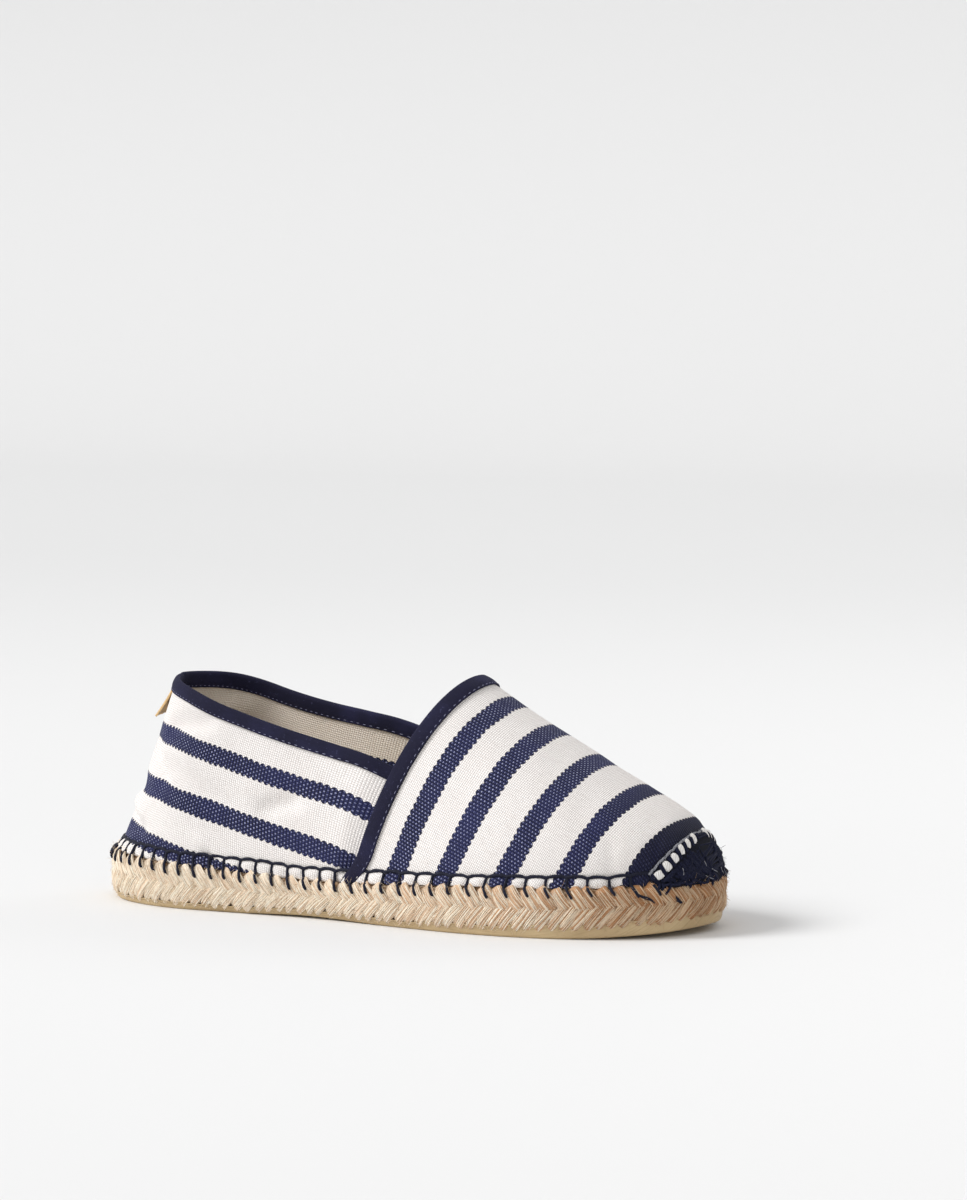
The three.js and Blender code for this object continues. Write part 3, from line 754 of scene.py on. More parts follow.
# On the vamp, along is the share of the length in millimetres and down is from the ridge.
VAMP_CREASES = {
    "along": (150, 172, 196, 216, 230, 224, 236, 226, 158, 182, 214, 230),
    "down":  (-52, -20, -34, -40, -26, -14, -10, -34, 40, 22, 34, 22),
    "turn":  (70, 64, 58, 48, 62, 80, 74, 50, 62, 60, 52, 66),
    "long":  (30, 34, 28, 16, 11, 12, 9, 12, 32, 30, 18, 12),
    "wide":  (7.0, 8.0, 6.0, 3.4, 2.2, 2.4, 2.0, 2.2, 7.0, 7.0, 3.6, 2.4),
    "depth": (-.45, -.40, -.42, -.55, -.45, .32, -.35, .30, -.42, -.38, -.50, -.42),
}


def creased(table, along, down):
    total = np.zeros(np.broadcast(along, down).shape)
    for x, y, turn, long, wide, depth in zip(*table.values()):
        angle = math.radians(turn)
        dx, dy = along - x, -(down - y)
        forward = dx * math.cos(angle) + dy * math.sin(angle)
        beside = -dx * math.sin(angle) + dy * math.cos(angle)
        total += depth * np.exp(-(beside / wide) ** 2 - (forward / (long / 2)) ** 4)
    return total


print("creases: %d and %d" % (len(QUARTER_CREASES["along"]), len(VAMP_CREASES["along"])))

# %% [markdown]
# ## The two pieces of canvas
# The quarter is one strip that runs round the heel, and the vamp covers the forefoot and laps over
# the quarter's front ends. Each is a grid stretched over the last. Its bottom rows puff out between
# the stitches and turn under at the rope. Solidify gives the cloth its thickness afterwards.

# %% Where the vamp laps over the quarter
LAP_DIP = 2.3                   # the quarter sinks this far to pass under the vamp
LAP_RUN = 9.0                   # over this much of its length
TUCK = 9.0                      # and goes on this far under it
FLARE = 5.0                     # the vamp's back edge swings towards the heel at the seam
FLARE_HIGH = 13.0               # up to this height


def flare(up):
    return FLARE * np.clip(1 - np.maximum(up, 0) / FLARE_HIGH, 0, 1) ** 2


# %% Quarter
def quarter_columns(count, reach):
    """signed run from the inner end round the heel to the outer end"""
    ends = [float(run_to(VAMP_U, side)) + reach for side in (OUTER, INNER)]
    signed = np.linspace(ends[1], -ends[0], count + 1)
    side = np.where(signed > 0, INNER, OUTER)
    run = np.abs(signed)
    return signed, side, run, station_of_run(run, side)


def quarter_at(signed, side, run, u, lengths, climb, lift=0.0, hem=False):
    """points on the quarter, one row for each column; climb is millimetres up the rib"""
    v = v_of_climb(np.maximum(climb, 0), lengths)
    u2, side2, run2 = (np.broadcast_to(a[:, None], v.shape) for a in (u, side, run))
    top = collar_climb(u, side, lengths)
    down = (top + collar_cut(u, side))[:, None] - climb
    edge_run = run_to(VAMP_U, side2) - flare(climb)
    sink = LAP_DIP * smooth(edge_run - LAP_RUN, edge_run - 0.5, run2)
    rise = creased(QUARTER_CREASES, signed[:, None], down) * smooth(1.0, 9.0, down) - sink
    rise = rise * smooth(-1, 9, climb) - 0.45 * sink * (1 - smooth(-1, 9, climb))
    if hem:
        rise = rise + puff(run2, side2, climb)
    out = canvas_out(u2, side2, v)
    spots = canvas(u2, side2, v) + out * (rise + lift)[..., None]
    return spots, out, down


TUCK_ROWS = ((-1.1, 1.9), (-0.55, 0.7))         # below the seam: how far down, and how far in
HEM_ROWS = (0.0, 0.5, 1.1, 1.8, 2.5, 3.2, 3.9, 4.5, 5.0, 5.6, 6.4)


def with_tuck(spots, side, u):
    """adds the rows that turn under at the rope"""
    away = outline(u, side, 1.0) - outline(u, side)
    rows = []
    for drop, inward in TUCK_ROWS:
        row = spots[:, 0].copy()
        row[:, 2] -= drop
        row[:, :2] -= away * inward
        rows.append(row)
    return np.concatenate([np.stack(rows, 1), spots], axis=1)


def quarter_piece():
    signed, side, run, u = quarter_columns(352, TUCK)
    lengths = rib_lengths(u, side)
    top = collar_climb(u, side, lengths)
    body = HEM_ROWS[-1] + (top[:, None] - HEM_ROWS[-1]) * np.linspace(0, 1, 33)[1:]
    climb = np.concatenate([np.tile(HEM_ROWS, (len(u), 1)), body], axis=1)
    spots, _, down = quarter_at(signed, side, run, u, lengths, climb, hem=True)
    spots = with_tuck(spots, side, u)
    down = np.concatenate([down[:, :1] + [[drop + inward for drop, inward in TUCK_ROWS]], down], 1)
    flat = np.stack([down, np.broadcast_to(signed[:, None], down.shape)], -1)
    bm = bmesh.new()
    skin(bm, spots, flat)
    bmesh.ops.reverse_faces(bm, faces=bm.faces)
    made = piece("canvas_quarter", bm, [canvas_quarter_look, quarter_inside_shaded_look],
                 ["upper"], closed=False)
    thicken(made, CLOTH, inside=1)
    return made


quarter_piece()


# %% Vamp
def vamp_grid(u, side, climb, lengths):
    """points on the vamp; the flare near the back edge moves each row's station"""
    v = v_of_climb(np.maximum(climb, 0), lengths)
    side2 = np.broadcast_to(side[:, None], v.shape)
    rate = np.interp(u, EVEN_U, np.gradient(RUNS[OUTER], EVEN_U))
    fade = 1 - smooth(0, 26, (u - VAMP_U) * rate)
    u2 = u[:, None] - flare(climb) * fade[:, None] / rate[:, None]
    down = (lengths[:, -1:] - climb) * side[:, None]
    run2 = run_to(u2, side2)
    rise = creased(VAMP_CREASES, share(u2) * LENGTH, down) * smooth(0, 8, climb)
    rise = rise + puff(run2, side2, climb)
    out = canvas_out(u2, side2, v)
    spots = canvas(u2, side2, v) + out * rise[..., None]
    return spots, u2, down


def vamp_piece():
    half = np.linspace(float(run_to(VAMP_U, OUTER)), RUNS[OUTER][-1], 221)
    half_u = station_of_run(half, OUTER)
    u = np.concatenate([half_u, half_u[-2::-1]])
    side = np.concatenate([np.full(len(half_u), OUTER), np.full(len(half_u) - 1, INNER)])
    side[len(half_u) - 1] = OUTER
    lengths = rib_lengths(u, side)
    climbs = HEM_ROWS[-1] + (lengths[:, -1:] - HEM_ROWS[-1]) * np.linspace(0, 1, 41)[1:]
    climb = np.concatenate([np.tile(HEM_ROWS, (len(u), 1)), climbs], axis=1)
    spots, u2, down = vamp_grid(u, side, climb, lengths)
    # both sides end on the same ridge
    count = len(half_u)
    ridge_row = canvas(half_u, OUTER, 1.0)
    spots[:count, -1] = ridge_row
    spots[count:, -1] = ridge_row[-2::-1]
    spots = with_tuck(spots, side, u)
    low = down[:, :1] + side[:, None] * [[drop + inward for drop, inward in TUCK_ROWS]]
    down = np.concatenate([low, down], axis=1)
    u2 = np.concatenate([u2[:, :1], u2[:, :1], u2], axis=1)
    flat = np.stack([share(u2) * LENGTH, down], -1)
    bm = bmesh.new()
    skin(bm, spots, flat)
    bmesh.ops.reverse_faces(bm, faces=bm.faces)
    made = piece("canvas_vamp", bm, [canvas_vamp_look, vamp_inside_shaded_look],
                 ["upper"], weld=2e-5, closed=False)
    thicken(made, CLOTH, inside=1)
    return made


vamp_piece()

# %% [markdown]
# ## Binding tape
# Both raw edges of canvas are wrapped in a folded cotton tape and stitched through. The tape has to
# follow the edge in all its turns, so it is one strip whose rows go down the outside, round the
# edge and up the inside, carried along the same curves as the canvas. It is a little fuller
# between its edge and its row of stitches, as folded cloth is.

# %% Tape material
TAPE_WIDE = 6.0                 # how far the tape reaches from the edge
TAPE_THICK = 0.5
TAPE_LIFT = 0.30                # air and fold between canvas and tape


def tape_material():
    made, tree, shader = new_material("binding_tape")
    place = node(tree, "ShaderNodeTexCoord")
    axis = node(tree, "ShaderNodeSeparateXYZ", Vector=place.outputs["UV"])
    # a twill: fine cords that run at a slant
    slant = sum_of(tree, "ADD", axis.outputs[0], axis.outputs[1])
    weave = use(tree, WEAVE, **{"Across": slant, "Along": axis.outputs[1],
                                "Across Pitch": 0.46, "Along Pitch": 0.33})
    lint = node(tree, "ShaderNodeTexNoise", Vector=place.outputs["Object"], Scale=900.0, Detail=3.0)
    wash = node(tree, "ShaderNodeTexNoise", Vector=place.outputs["Object"], Scale=60.0, Detail=3.0)
    # painted shade: the twill is darker in the low gaps between its cords
    colour = mix_colour(tree, remap(tree, weave.outputs["Height"], 0.1, 0.9),
                        srgb(12, 12, 26), srgb(32, 31, 60))
    colour = mix_colour(tree, remap(tree, wash.outputs[0], 0.42, 0.75, 0.0, 0.55), colour,
                        srgb(42, 42, 76))
    colour = mix_colour(tree, remap(tree, lint.outputs[0], 0.62, 0.8, 0.0, 0.35), colour,
                        srgb(96, 98, 140))
    tree.links.new(colour, shader.inputs["Base Color"])
    height = sum_of(tree, "MULTIPLY_ADD", lint.outputs[0], 0.5, weave.outputs["Height"])
    bump = node(tree, "ShaderNodeBump", Height=height, Strength=0.6, Distance=0.10 * MM)
    tree.links.new(bump.outputs[0], shader.inputs["Normal"])
    shader.inputs["Roughness"].default_value = 0.86
    shader.inputs["Specular IOR Level"].default_value = 0.25
    shader.inputs["Sheen Weight"].default_value = 0.08
    shader.inputs["Sheen Roughness"].default_value = 0.4
    shader.inputs["Sheen Tint"].default_value = srgb(120, 124, 190)
    return made


tape_look = tape_material()

# %% The strip round an edge
TAPE_LAYS = (6.0, 5.6, 5.1, 4.6, 3.8, 3.0, 2.1, 1.2, 0.5)     # distances from the edge
TAPE_FULL = (0.02, 0.06, -0.06, 0.08, 0.20, 0.26, 0.24, 0.16, 0.08)   # fullness on top of the lift
ROLL_TURNS = 7                  # rows round the edge itself
STITCH_LINE = 5.1               # the row of stitches sits this far from the edge


def wrap(outside, inside, edge, up, out):
    """rows of a strip: down-to-edge outside, round the edge, edge-to-down inside"""
    radius = (CLOTH / 2 + TAPE_LIFT)
    centre = edge - out * (CLOTH / 2)
    turns = np.linspace(0, np.pi, ROLL_TURNS + 2)
    roll = [centre + out * radius * np.cos(a) + up * radius * np.sin(a) for a in turns]
    return np.stack([*outside, *roll, *inside[::-1]], axis=1)


def tape_layout(run):
    """UV in millimetres: along the tape, and across it"""
    lays = np.array(TAPE_LAYS)
    roll = np.linspace(0, np.pi, ROLL_TURNS + 2) * (CLOTH / 2 + TAPE_LIFT)
    across = np.concatenate([TAPE_WIDE - lays, TAPE_WIDE + roll, TAPE_WIDE + roll[-1] + lays[::-1]])
    return np.stack(np.broadcast_arrays(run[:, None], across[None, :]), -1)


PUCKER = 2.7                    # stitch to stitch


def pucker(run):
    """the tape is drawn in a little at each stitch"""
    return 0.05 * np.cos(2 * np.pi * run / PUCKER)


EDGE_STEP = 1.5                 # the way up at the edge is taken over this much cloth
NEAR_STITCHES = (np.array(TAPE_LAYS) > 4.0) * 1.0


def tape_wall(made):
    """gives the strip of tape its thickness, outwards"""
    solid = made.modifiers.new("thickness", "SOLIDIFY")
    solid.thickness = TAPE_THICK * MM
    solid.offset = 1


# %% Collar tape
COLLAR_REACH = 6.0              # the tape goes on this far under the vamp
COLLAR_SHARE = (0.65, 0.82)     # it is narrower than the vamp's, and wider inside than outside


def collar_frame(count, reach=COLLAR_REACH):
    signed, side, run, u = quarter_columns(count, reach)
    lengths = rib_lengths(u, side)
    top = collar_climb(u, side, lengths)

    def at(down, lift):
        climb = (top - down)[:, None]
        spots, out, _ = quarter_at(signed, side, run, u, lengths, climb)
        return spots[:, 0] + out[:, 0] * np.broadcast_to(lift, top.shape)[:, None], out[:, 0]
    return signed, side, run, at


def collar_piece():
    signed, side, run, at = collar_frame(300)
    edge, out = at(0.0, 0.0)
    up = unit(edge - at(EDGE_STEP, 0.0)[0])
    drawn = pucker(signed)
    outside = [at(down * COLLAR_SHARE[0], TAPE_LIFT + full + drawn * close)[0]
               for down, full, close in zip(TAPE_LAYS, TAPE_FULL, NEAR_STITCHES)]
    inside = [at(down * COLLAR_SHARE[1], -CLOTH - TAPE_LIFT - full * 0.7 - drawn * close)[0]
              for down, full, close in zip(TAPE_LAYS, TAPE_FULL, NEAR_STITCHES)]
    rows = wrap(outside, inside, edge, up, out)
    bm = bmesh.new()
    skin(bm, rows, tape_layout(signed))
    bmesh.ops.reverse_faces(bm, faces=bm.faces)
    made = piece("collar_tape", bm, [tape_look], ["collar_binding"], closed=False)
    tape_wall(made)
    return made


collar_piece()


# %% Vamp tape
def vamp_frame(count):
    """columns along the vamp's back edge, from the outer seam over the throat to the inner seam"""
    lengths = {side: rib_lengths(np.array([VAMP_U]), np.array([side]))[0] for side in (OUTER, INNER)}
    halves = [lengths[OUTER][-1], lengths[INNER][-1]]
    signed = np.linspace(-halves[0], halves[1], count + 1)
    side = np.where(signed > 0, INNER, OUTER)
    half = np.where(signed > 0, halves[1], halves[0])
    climb = half - np.abs(signed)
    v = np.where(signed > 0, np.interp(climb, lengths[INNER], EVEN_V),
                 np.interp(climb, lengths[OUTER], EVEN_V))
    small = 0.01
    step = np.linalg.norm(canvas(VAMP_U + small, side, v) - canvas(VAMP_U, side, v), axis=-1) / small

    def at(ahead, lift):
        u = VAMP_U + (ahead - flare(climb)) / step
        out = canvas_out(u, side, v)
        down = (half - climb) * side
        rise = creased(VAMP_CREASES, share(u) * LENGTH, down) * smooth(0, 8, climb)
        # over the hem's thread the tape stands off as the canvas does
        rise = rise + 0.5 * (1 - smooth(1, 7, climb))
        total = rise + np.broadcast_to(lift, climb.shape)
        return canvas(u, side, v) + out * total[:, None], out
    return signed, side, climb, at


def vamp_tape_piece():
    signed, side, climb, at = vamp_frame(260)
    edge, out = at(0.0, 0.0)
    up = unit(edge - at(EDGE_STEP, 0.0)[0])
    drawn = pucker(signed)
    outside = [at(ahead, TAPE_LIFT + full + drawn * close)[0]
               for ahead, full, close in zip(TAPE_LAYS, TAPE_FULL, NEAR_STITCHES)]
    inside = [at(ahead, -CLOTH - TAPE_LIFT - full * 0.3)[0]
              for ahead, full in zip(TAPE_LAYS, TAPE_FULL)]
    rows = wrap(outside, inside, edge, up, out)
    # the foot of the tape turns under at the rope, like the canvas beside it
    feet = []
    for end in (0, -1):
        away = outline(np.full(rows.shape[1], VAMP_U), side[end], 1.0) - outline(VAMP_U, side[end])
        foot = rows[end].copy()
        foot[:, 2] -= 1.6
        foot[:, :2] -= away * 1.2
        feet.append(foot[None])
    rows = np.concatenate([feet[0], rows, feet[1]])
    run = np.concatenate([[signed[0] - 2], signed, [signed[-1] + 2]])
    bm = bmesh.new()
    skin(bm, rows, tape_layout(run))
    bmesh.ops.reverse_faces(bm, faces=bm.faces)
    made = piece("vamp_tape", bm, [tape_look], ["vamp_binding"], closed=False)
    tape_wall(made)
    return made


vamp_tape_piece()

# %% [markdown]
# ## Stitches through the tape
# A sewing machine leaves short pale dashes, a little sunk. Each dash is a flattened rod of a few
# dozen faces, laid along the stitch line on both faces of the tape and joined into one mesh.

# %% Dashes
DASH = 1.55                     # length that shows
DASH_WIDE, DASH_DEEP = 0.15, 0.12


def thread_material(name, dark, light, rough=0.75, sheen=0.05):
    """cotton thread; the yarns show as slanting ridges along the UV"""
    made, tree, shader = new_material(name)
    place = node(tree, "ShaderNodeTexCoord")
    fibres = use(tree, FIBRES, Vector=place.outputs["UV"], Fine=5.0, Stretch=0.35)
    lint = node(tree, "ShaderNodeTexNoise", Vector=place.outputs["Object"], Scale=1400.0, Detail=2.0)
    colour = mix_colour(tree, remap(tree, fibres.outputs["Height"], 0.3, 0.7), dark, light)
    colour = mix_colour(tree, remap(tree, lint.outputs[0], 0.3, 0.8, 0.0, 0.5), colour, dark)
    tree.links.new(colour, shader.inputs["Base Color"])
    bump = node(tree, "ShaderNodeBump", Height=fibres.outputs["Height"], Strength=0.7,
                Distance=0.08 * MM)
    tree.links.new(bump.outputs[0], shader.inputs["Normal"])
    shader.inputs["Roughness"].default_value = rough
    shader.inputs["Specular IOR Level"].default_value = 0.2
    shader.inputs["Sheen Weight"].default_value = sheen
    return made


dash_look = thread_material("stitch_thread", srgb(84, 86, 122), srgb(184, 185, 204))


def dashes():
    rods = []
    top = TAPE_LIFT + TAPE_THICK - 0.06
    below = CLOTH + TAPE_LIFT + TAPE_THICK - 0.06

    def lay(line, out, run, first, last):
        for middle in np.arange(first, last, PUCKER):
            wobble = chance.uniform(-0.12, 0.12)
            spread = np.linspace(-DASH / 2, DASH / 2, 5) + middle + wobble
            path = np.stack([np.interp(spread, run, line[:, k]) for k in range(3)], -1)
            away = unit(np.stack([np.interp(spread, run, out[:, k]) for k in range(3)], -1))
            path += away * (0.10 * np.array([-1.2, 0.2, 0.6, 0.2, -1.2]))[:, None]
            sweep(rods, path, away, DASH_WIDE, DASH_DEEP, around=6)

    signed, side, run, at = collar_frame(300)
    order = np.argsort(signed)
    ends = signed.min() + COLLAR_REACH + 5, signed.max() - COLLAR_REACH - 5
    for lift, face, part in zip((top, -below), (1, -1), COLLAR_SHARE):
        line, out = at(STITCH_LINE * part, lift)
        lay(line[order], out[order] * face, signed[order], *ends)
    signed, side, climb, at = vamp_frame(260)
    for lift, face in ((top, 1), (-below, -1)):
        line, out = at(STITCH_LINE, lift)
        lay(line, out * face, signed, signed[0] + 6, signed[-1] - 6)
    return piece("tape_stitches", join_rods(rods), [dash_look])


dashes()

# %% [markdown]
# ## The plaited rope sole
# A long plait of jute is coiled flat and sewn through from side to side. At the rim one turn of it
# shows as two rows of slanting strands that meet in arrowheads. Carving the pattern into one slab
# gives soft, soapy ridges, so every strand here is its own flattened rod of a few hundred faces,
# and a plain core behind them closes the gaps.

# %% Height of the rope and of the rubber under it
TOE_SPRING = 3.0
SPRING_FROM = 0.78
ARCH_RISE, ARCH_FROM, ARCH_TO = 0.8, 0.24, 0.54
JUTE_GAP = 0.2


def lift(at):
    """how far the underside is off the ground"""
    arch = np.clip((at - ARCH_FROM) / (ARCH_TO - ARCH_FROM), 0, 1)
    spring = np.maximum(at - SPRING_FROM, 0) / (1 - SPRING_FROM)
    return ARCH_RISE * np.sin(np.pi * arch) ** 2 + TOE_SPRING * spring ** 2


def ring(run):
    """side and station at a run right round the sole: outer side to the toe, then back inside"""
    run = np.mod(run, GIRTH)
    side = np.where(run < RUNS[OUTER][-1], OUTER, INNER)
    return side, station_of_run(np.where(side > 0, GIRTH - run, run), side)


RUBBER_SHOWS = {"at":   (0.0, 0.30, 0.55, 0.70, 0.85, 1.0),
                "high": (2.1, 1.9, 2.2, 2.9, 3.9, 4.4)}
rubber_shows = column(RUBBER_SHOWS, "high")


def rope_low(at):
    return lift(at) + rubber_shows(at)


def rope_high(at):
    return seam_height(at) - JUTE_GAP


# side of the rope from rubber to canvas: share of its height, and how far the core stands out
PLAIT = {"rise": (0.0, 0.10, 0.26, 0.42, 0.50, 0.58, 0.74, 0.90, 1.0),
         "out":  (-1.2, -0.3, 0.3, 0.0, -0.7, -0.1, 0.3, -0.1, -0.7)}
plait_out = column(PLAIT, "out", key="rise")


# %% Jute material
def jute_material(name, light, mid, dark):
    made, tree, shader = new_material(name)
    place = node(tree, "ShaderNodeTexCoord")
    # every fibre has its own cell of ten millimetres across the map, and so its own tone
    cell = node(tree, "ShaderNodeSeparateXYZ", Vector=place.outputs["UV"]).outputs[1]
    cell = sum_of(tree, "FLOOR", sum_of(tree, "DIVIDE", cell, 10.0))
    own = node(tree, "ShaderNodeTexWhiteNoise", {"noise_dimensions": "1D"}, W=cell).outputs[0]
    between = sum_of(tree, "LESS_THAN", cell, 0.0)
    axis = node(tree, "ShaderNodeSeparateXYZ", Vector=place.outputs["Object"])
    # darker strands and the painted shade under the loose fibres grow stronger towards the toe
    toe_contrast = remap(tree, axis.outputs[0], -0.06, 0.11, 0.30, 1.15)
    coarse = use(tree, FIBRES, Vector=place.outputs["UV"], Fine=3.2, Stretch=0.10)
    fine = use(tree, FIBRES, Vector=place.outputs["UV"], Fine=9.0, Stretch=0.06)
    patch = node(tree, "ShaderNodeTexNoise", Vector=place.outputs["Object"], Scale=55.0, Detail=4.0)
    colour = mix_colour(tree, remap(tree, coarse.outputs["Height"], 0.28, 0.68), mid, light)
    colour = mix_colour(tree, remap(tree, fine.outputs["Height"], 0.30, 0.48, 0.65, 0.0),
                        colour, dark)
    colour = mix_colour(tree, remap(tree, coarse.outputs["Tone"], 0.52, 0.72, 0.0, 0.55),
                        colour, srgb(255, 240, 220))
    colour = mix_colour(tree, remap(tree, patch.outputs[0], 0.45, 0.75, 0.0, 0.35), colour, mid)
    shy = sum_of(tree, "MULTIPLY", remap(tree, own, 0.60, 1.0, 0.0, 0.85), toe_contrast)
    colour = mix_colour(tree, shy, colour, dark)
    colour = mix_colour(tree, remap(tree, own, 0.45, 0.0, 0.0, 0.70), colour, light)
    # cells below nought lie under the loose fibres, in their shade
    shade = sum_of(tree, "MULTIPLY", sum_of(tree, "MULTIPLY", between, toe_contrast), 0.85)
    colour = mix_colour(tree, shade, colour, dark)
    # the toe end of the rope is browner
    toe = remap(tree, axis.outputs[0], 0.055, 0.120, 0.0, 0.75)
    colour = mix_colour(tree, toe, colour, srgb(206, 178, 146), "MULTIPLY")
    tree.links.new(colour, shader.inputs["Base Color"])
    height = sum_of(tree, "MULTIPLY_ADD", fine.outputs["Height"], 0.6, coarse.outputs["Height"])
    bump = node(tree, "ShaderNodeBump", Height=height, Strength=0.7, Distance=0.34 * MM)
    tree.links.new(bump.outputs[0], shader.inputs["Normal"])
    shader.inputs["Roughness"].default_value = 0.78
    shader.inputs["Specular IOR Level"].default_value = 0.28
    shader.inputs["Sheen Weight"].default_value = 0.15
    return made


strand_look = jute_material("jute_strand", srgb(255, 249, 232), srgb(255, 234, 206),
                            srgb(204, 158, 116))
# painted shade: the core is the same jute in darker colours, for the shade behind the strands
core_shaded_look = jute_material("jute_core", srgb(206, 170, 132), srgb(176, 138, 102), srgb(120, 86, 60))


# %% A slab with the sole's outline
def sole_slab(name, rows, material, replaces, columns=360):
    """rows run from the middle of the underside round the rim to the middle of the top;
    each is a height, an offset from the outline, and a share of the way to the middle"""
    half = np.linspace(0, RUNS[OUTER][-1], columns // 2 + 1)
    u = station_of_run(half, OUTER)
    u = np.concatenate([u, u[-2::-1]])
    side = np.concatenate([np.full(columns // 2, OUTER), np.full(columns // 2 + 1, INNER)])
    at = share(u)
    middle = (outline(u, OUTER) + outline(u, INNER)) / 2
    run = np.where(side < 0, run_to(u, side), GIRTH - run_to(u, side))
    points = []
    for height, offset, inward in rows(at, run):
        rim = outline(u, side, offset)
        spot = rim + (middle - rim) * inward
        points.append(np.concatenate([spot, np.broadcast_to(height, at.shape)[:, None]], axis=1))
    points = np.stack(points)
    steps = np.linalg.norm(np.diff(points, axis=0), axis=2)
    across = np.concatenate([np.zeros((1, len(u))), np.cumsum(steps, axis=0)])
    flat = np.stack([np.broadcast_to(run, across.shape), across], -1)
    bm = bmesh.new()
    skin(bm, points, flat)
    return piece(name, bm, [material], replaces, weld=3e-6)


def core_rows(at, _run):
    low, high = rope_low(at) + 0.4, rope_high(at) + 0.1
    yield low, -3.0, 1.0
    yield low, -3.0, 0.0
    for rise in np.linspace(0, 1, 13):
        yield low + (high - low) * rise, plait_out(rise) - 0.9, 0.0
    yield high, -4.0, 0.0
    yield high, -4.0, 1.0


sole_slab("jute_core", core_rows, core_shaded_look, ["jute_sole"])

# %% Strands
# A strand is a flattened body with a bundle of single fibres lying over it. Its two ends dive in,
# one at the rim and one in the groove between the rows, where the next strand covers it.
ROPE_PITCH = 5.7                # strand to strand, upper row
LOWER_PITCH = 4.5
UPPER_LEAN, LOWER_LEAN = 6.6, 8.6      # how far a strand leans over its height
BUNDLE = 11                     # single fibres on each strand


def strands(name, pitch, lean_by, from_rise, to_rise, wide, deep, crest):
    """one row of the plait; lean_by is positive where a strand's top is further round"""
    count = int(GIRTH / pitch)
    pitch = GIRTH / count
    rods = []
    t = np.array([0, .04, .08, .16, .27, .39, .5, .61, .73, .84, .92, .96, 1])
    climb = np.clip((t - 0.04) / 0.92, 0, 1)
    for k in range(count):
        jitter = chance.uniform(-1, 1, 7)
        rise = from_rise + (to_rise - from_rise) * climb
        run = (k + 0.5 + 0.12 * jitter[0]) * pitch + (lean_by + 0.7 * jitter[1]) * (t - 0.5)
        run = run + 0.45 * jitter[2] * np.sin(np.pi * t)
        side, u = ring(run)
        at = share(u)
        foot = outline(u, side, crest(t) + 0.20 * jitter[3])
        height = rope_low(at) + (rope_high(at) - rope_low(at)) * rise
        path = np.concatenate([foot, height[:, None]], axis=1)
        away = np.concatenate([outline(u, side, 1.0) - outline(u, side), np.zeros((len(t), 1))], 1)
        blunt, body = ((1 - np.abs(2 * t - 1) ** power) ** 0.5 for power in (9, 5))
        half_wide = np.maximum(wide * blunt * (1 + 0.12 * jitter[4]), 0.05)
        half_deep = np.maximum(deep * body * (1 + 0.15 * jitter[6]), 0.05)
        sweep(rods, path, away, half_wide, half_deep, around=12, ply=5, twist=0.25,
              phase=6.3 * jitter[5], start=(k * 37.0, -20.0 * (k + 1)))
        beside, up = frame_along(path, away)
        for spot in np.linspace(-0.93, 0.93, BUNDLE):
            first, last = chance.uniform(0.0, 0.14), chance.uniform(0.86, 1.0)
            here = np.linspace(first, last, 8)
            drift = spot + 0.10 * chance.normal() + 0.16 * chance.normal() * (here - 0.5)
            drift = np.clip(drift, -1.02, 1.02)
            rest = np.sqrt(np.maximum(1 - drift ** 2, 0.02))
            stand = chance.uniform(0.0, 0.28)
            lines = [np.stack([np.interp(here, t, part[:, axis]) for axis in range(3)], -1)
                     for part in (path, beside, up)]
            over = np.interp(here, t, half_deep) * rest + stand
            fibre = (lines[0] + lines[1] * (drift * np.interp(here, t, half_wide))[:, None]
                     + lines[2] * over[:, None])
            size = chance.uniform(0.13, 0.27) * np.array([0.4, 0.8, 1, 1, 1, 1, 0.8, 0.4])
            sweep(rods, fibre, lines[2], size, size, around=4,
                  start=(chance.uniform(0, 900), 10.0 * chance.integers(0, 999)))
    return piece(name, join_rods(rods), [strand_look], ["jute_sole"])


def lower_crest(t):
    return (-0.35 + 0.95 * np.sin(np.pi * t) ** 0.7 - 1.6 * np.clip((0.30 - t) / 0.30, 0, 1) ** 2
            - 1.2 * np.clip((t - 0.86) / 0.14, 0, 1) ** 2)


def upper_crest(t):
    return (-0.35 + 0.95 * np.sin(np.pi * t) ** 0.7 - 0.9 * np.clip((0.16 - t) / 0.16, 0, 1) ** 2
            - 0.9 * np.clip((t - 0.55) / 0.45, 0, 1) ** 2 - 1.8 * np.clip((t - 0.9) / 0.1, 0, 1) ** 2)


strands("plait_lower", LOWER_PITCH, LOWER_LEAN, -0.02, 0.60, 2.2, 0.75, lower_crest)
strands("plait_upper", ROPE_PITCH, -UPPER_LEAN, 0.44, 1.005, 2.9, 0.75, upper_crest)


# %% [markdown]
# ## Stray fibres
# Jute is never clean: short hairs stand off the rope everywhere, thickest at the toe and heel. A
# particle system would need baking, so each hair is a three-sided tapered rod with a random bend.

# %% Fibres
def hairs(name, count, place, look, radius=0.045):
    rods = []
    for _ in range(count):
        path, away = place()
        sweep(rods, path, away, radius, radius, around=3,
              start=(chance.uniform(0, 900), 10.0 * chance.integers(0, 999)))
    return piece(name, join_rods(rods), [look])


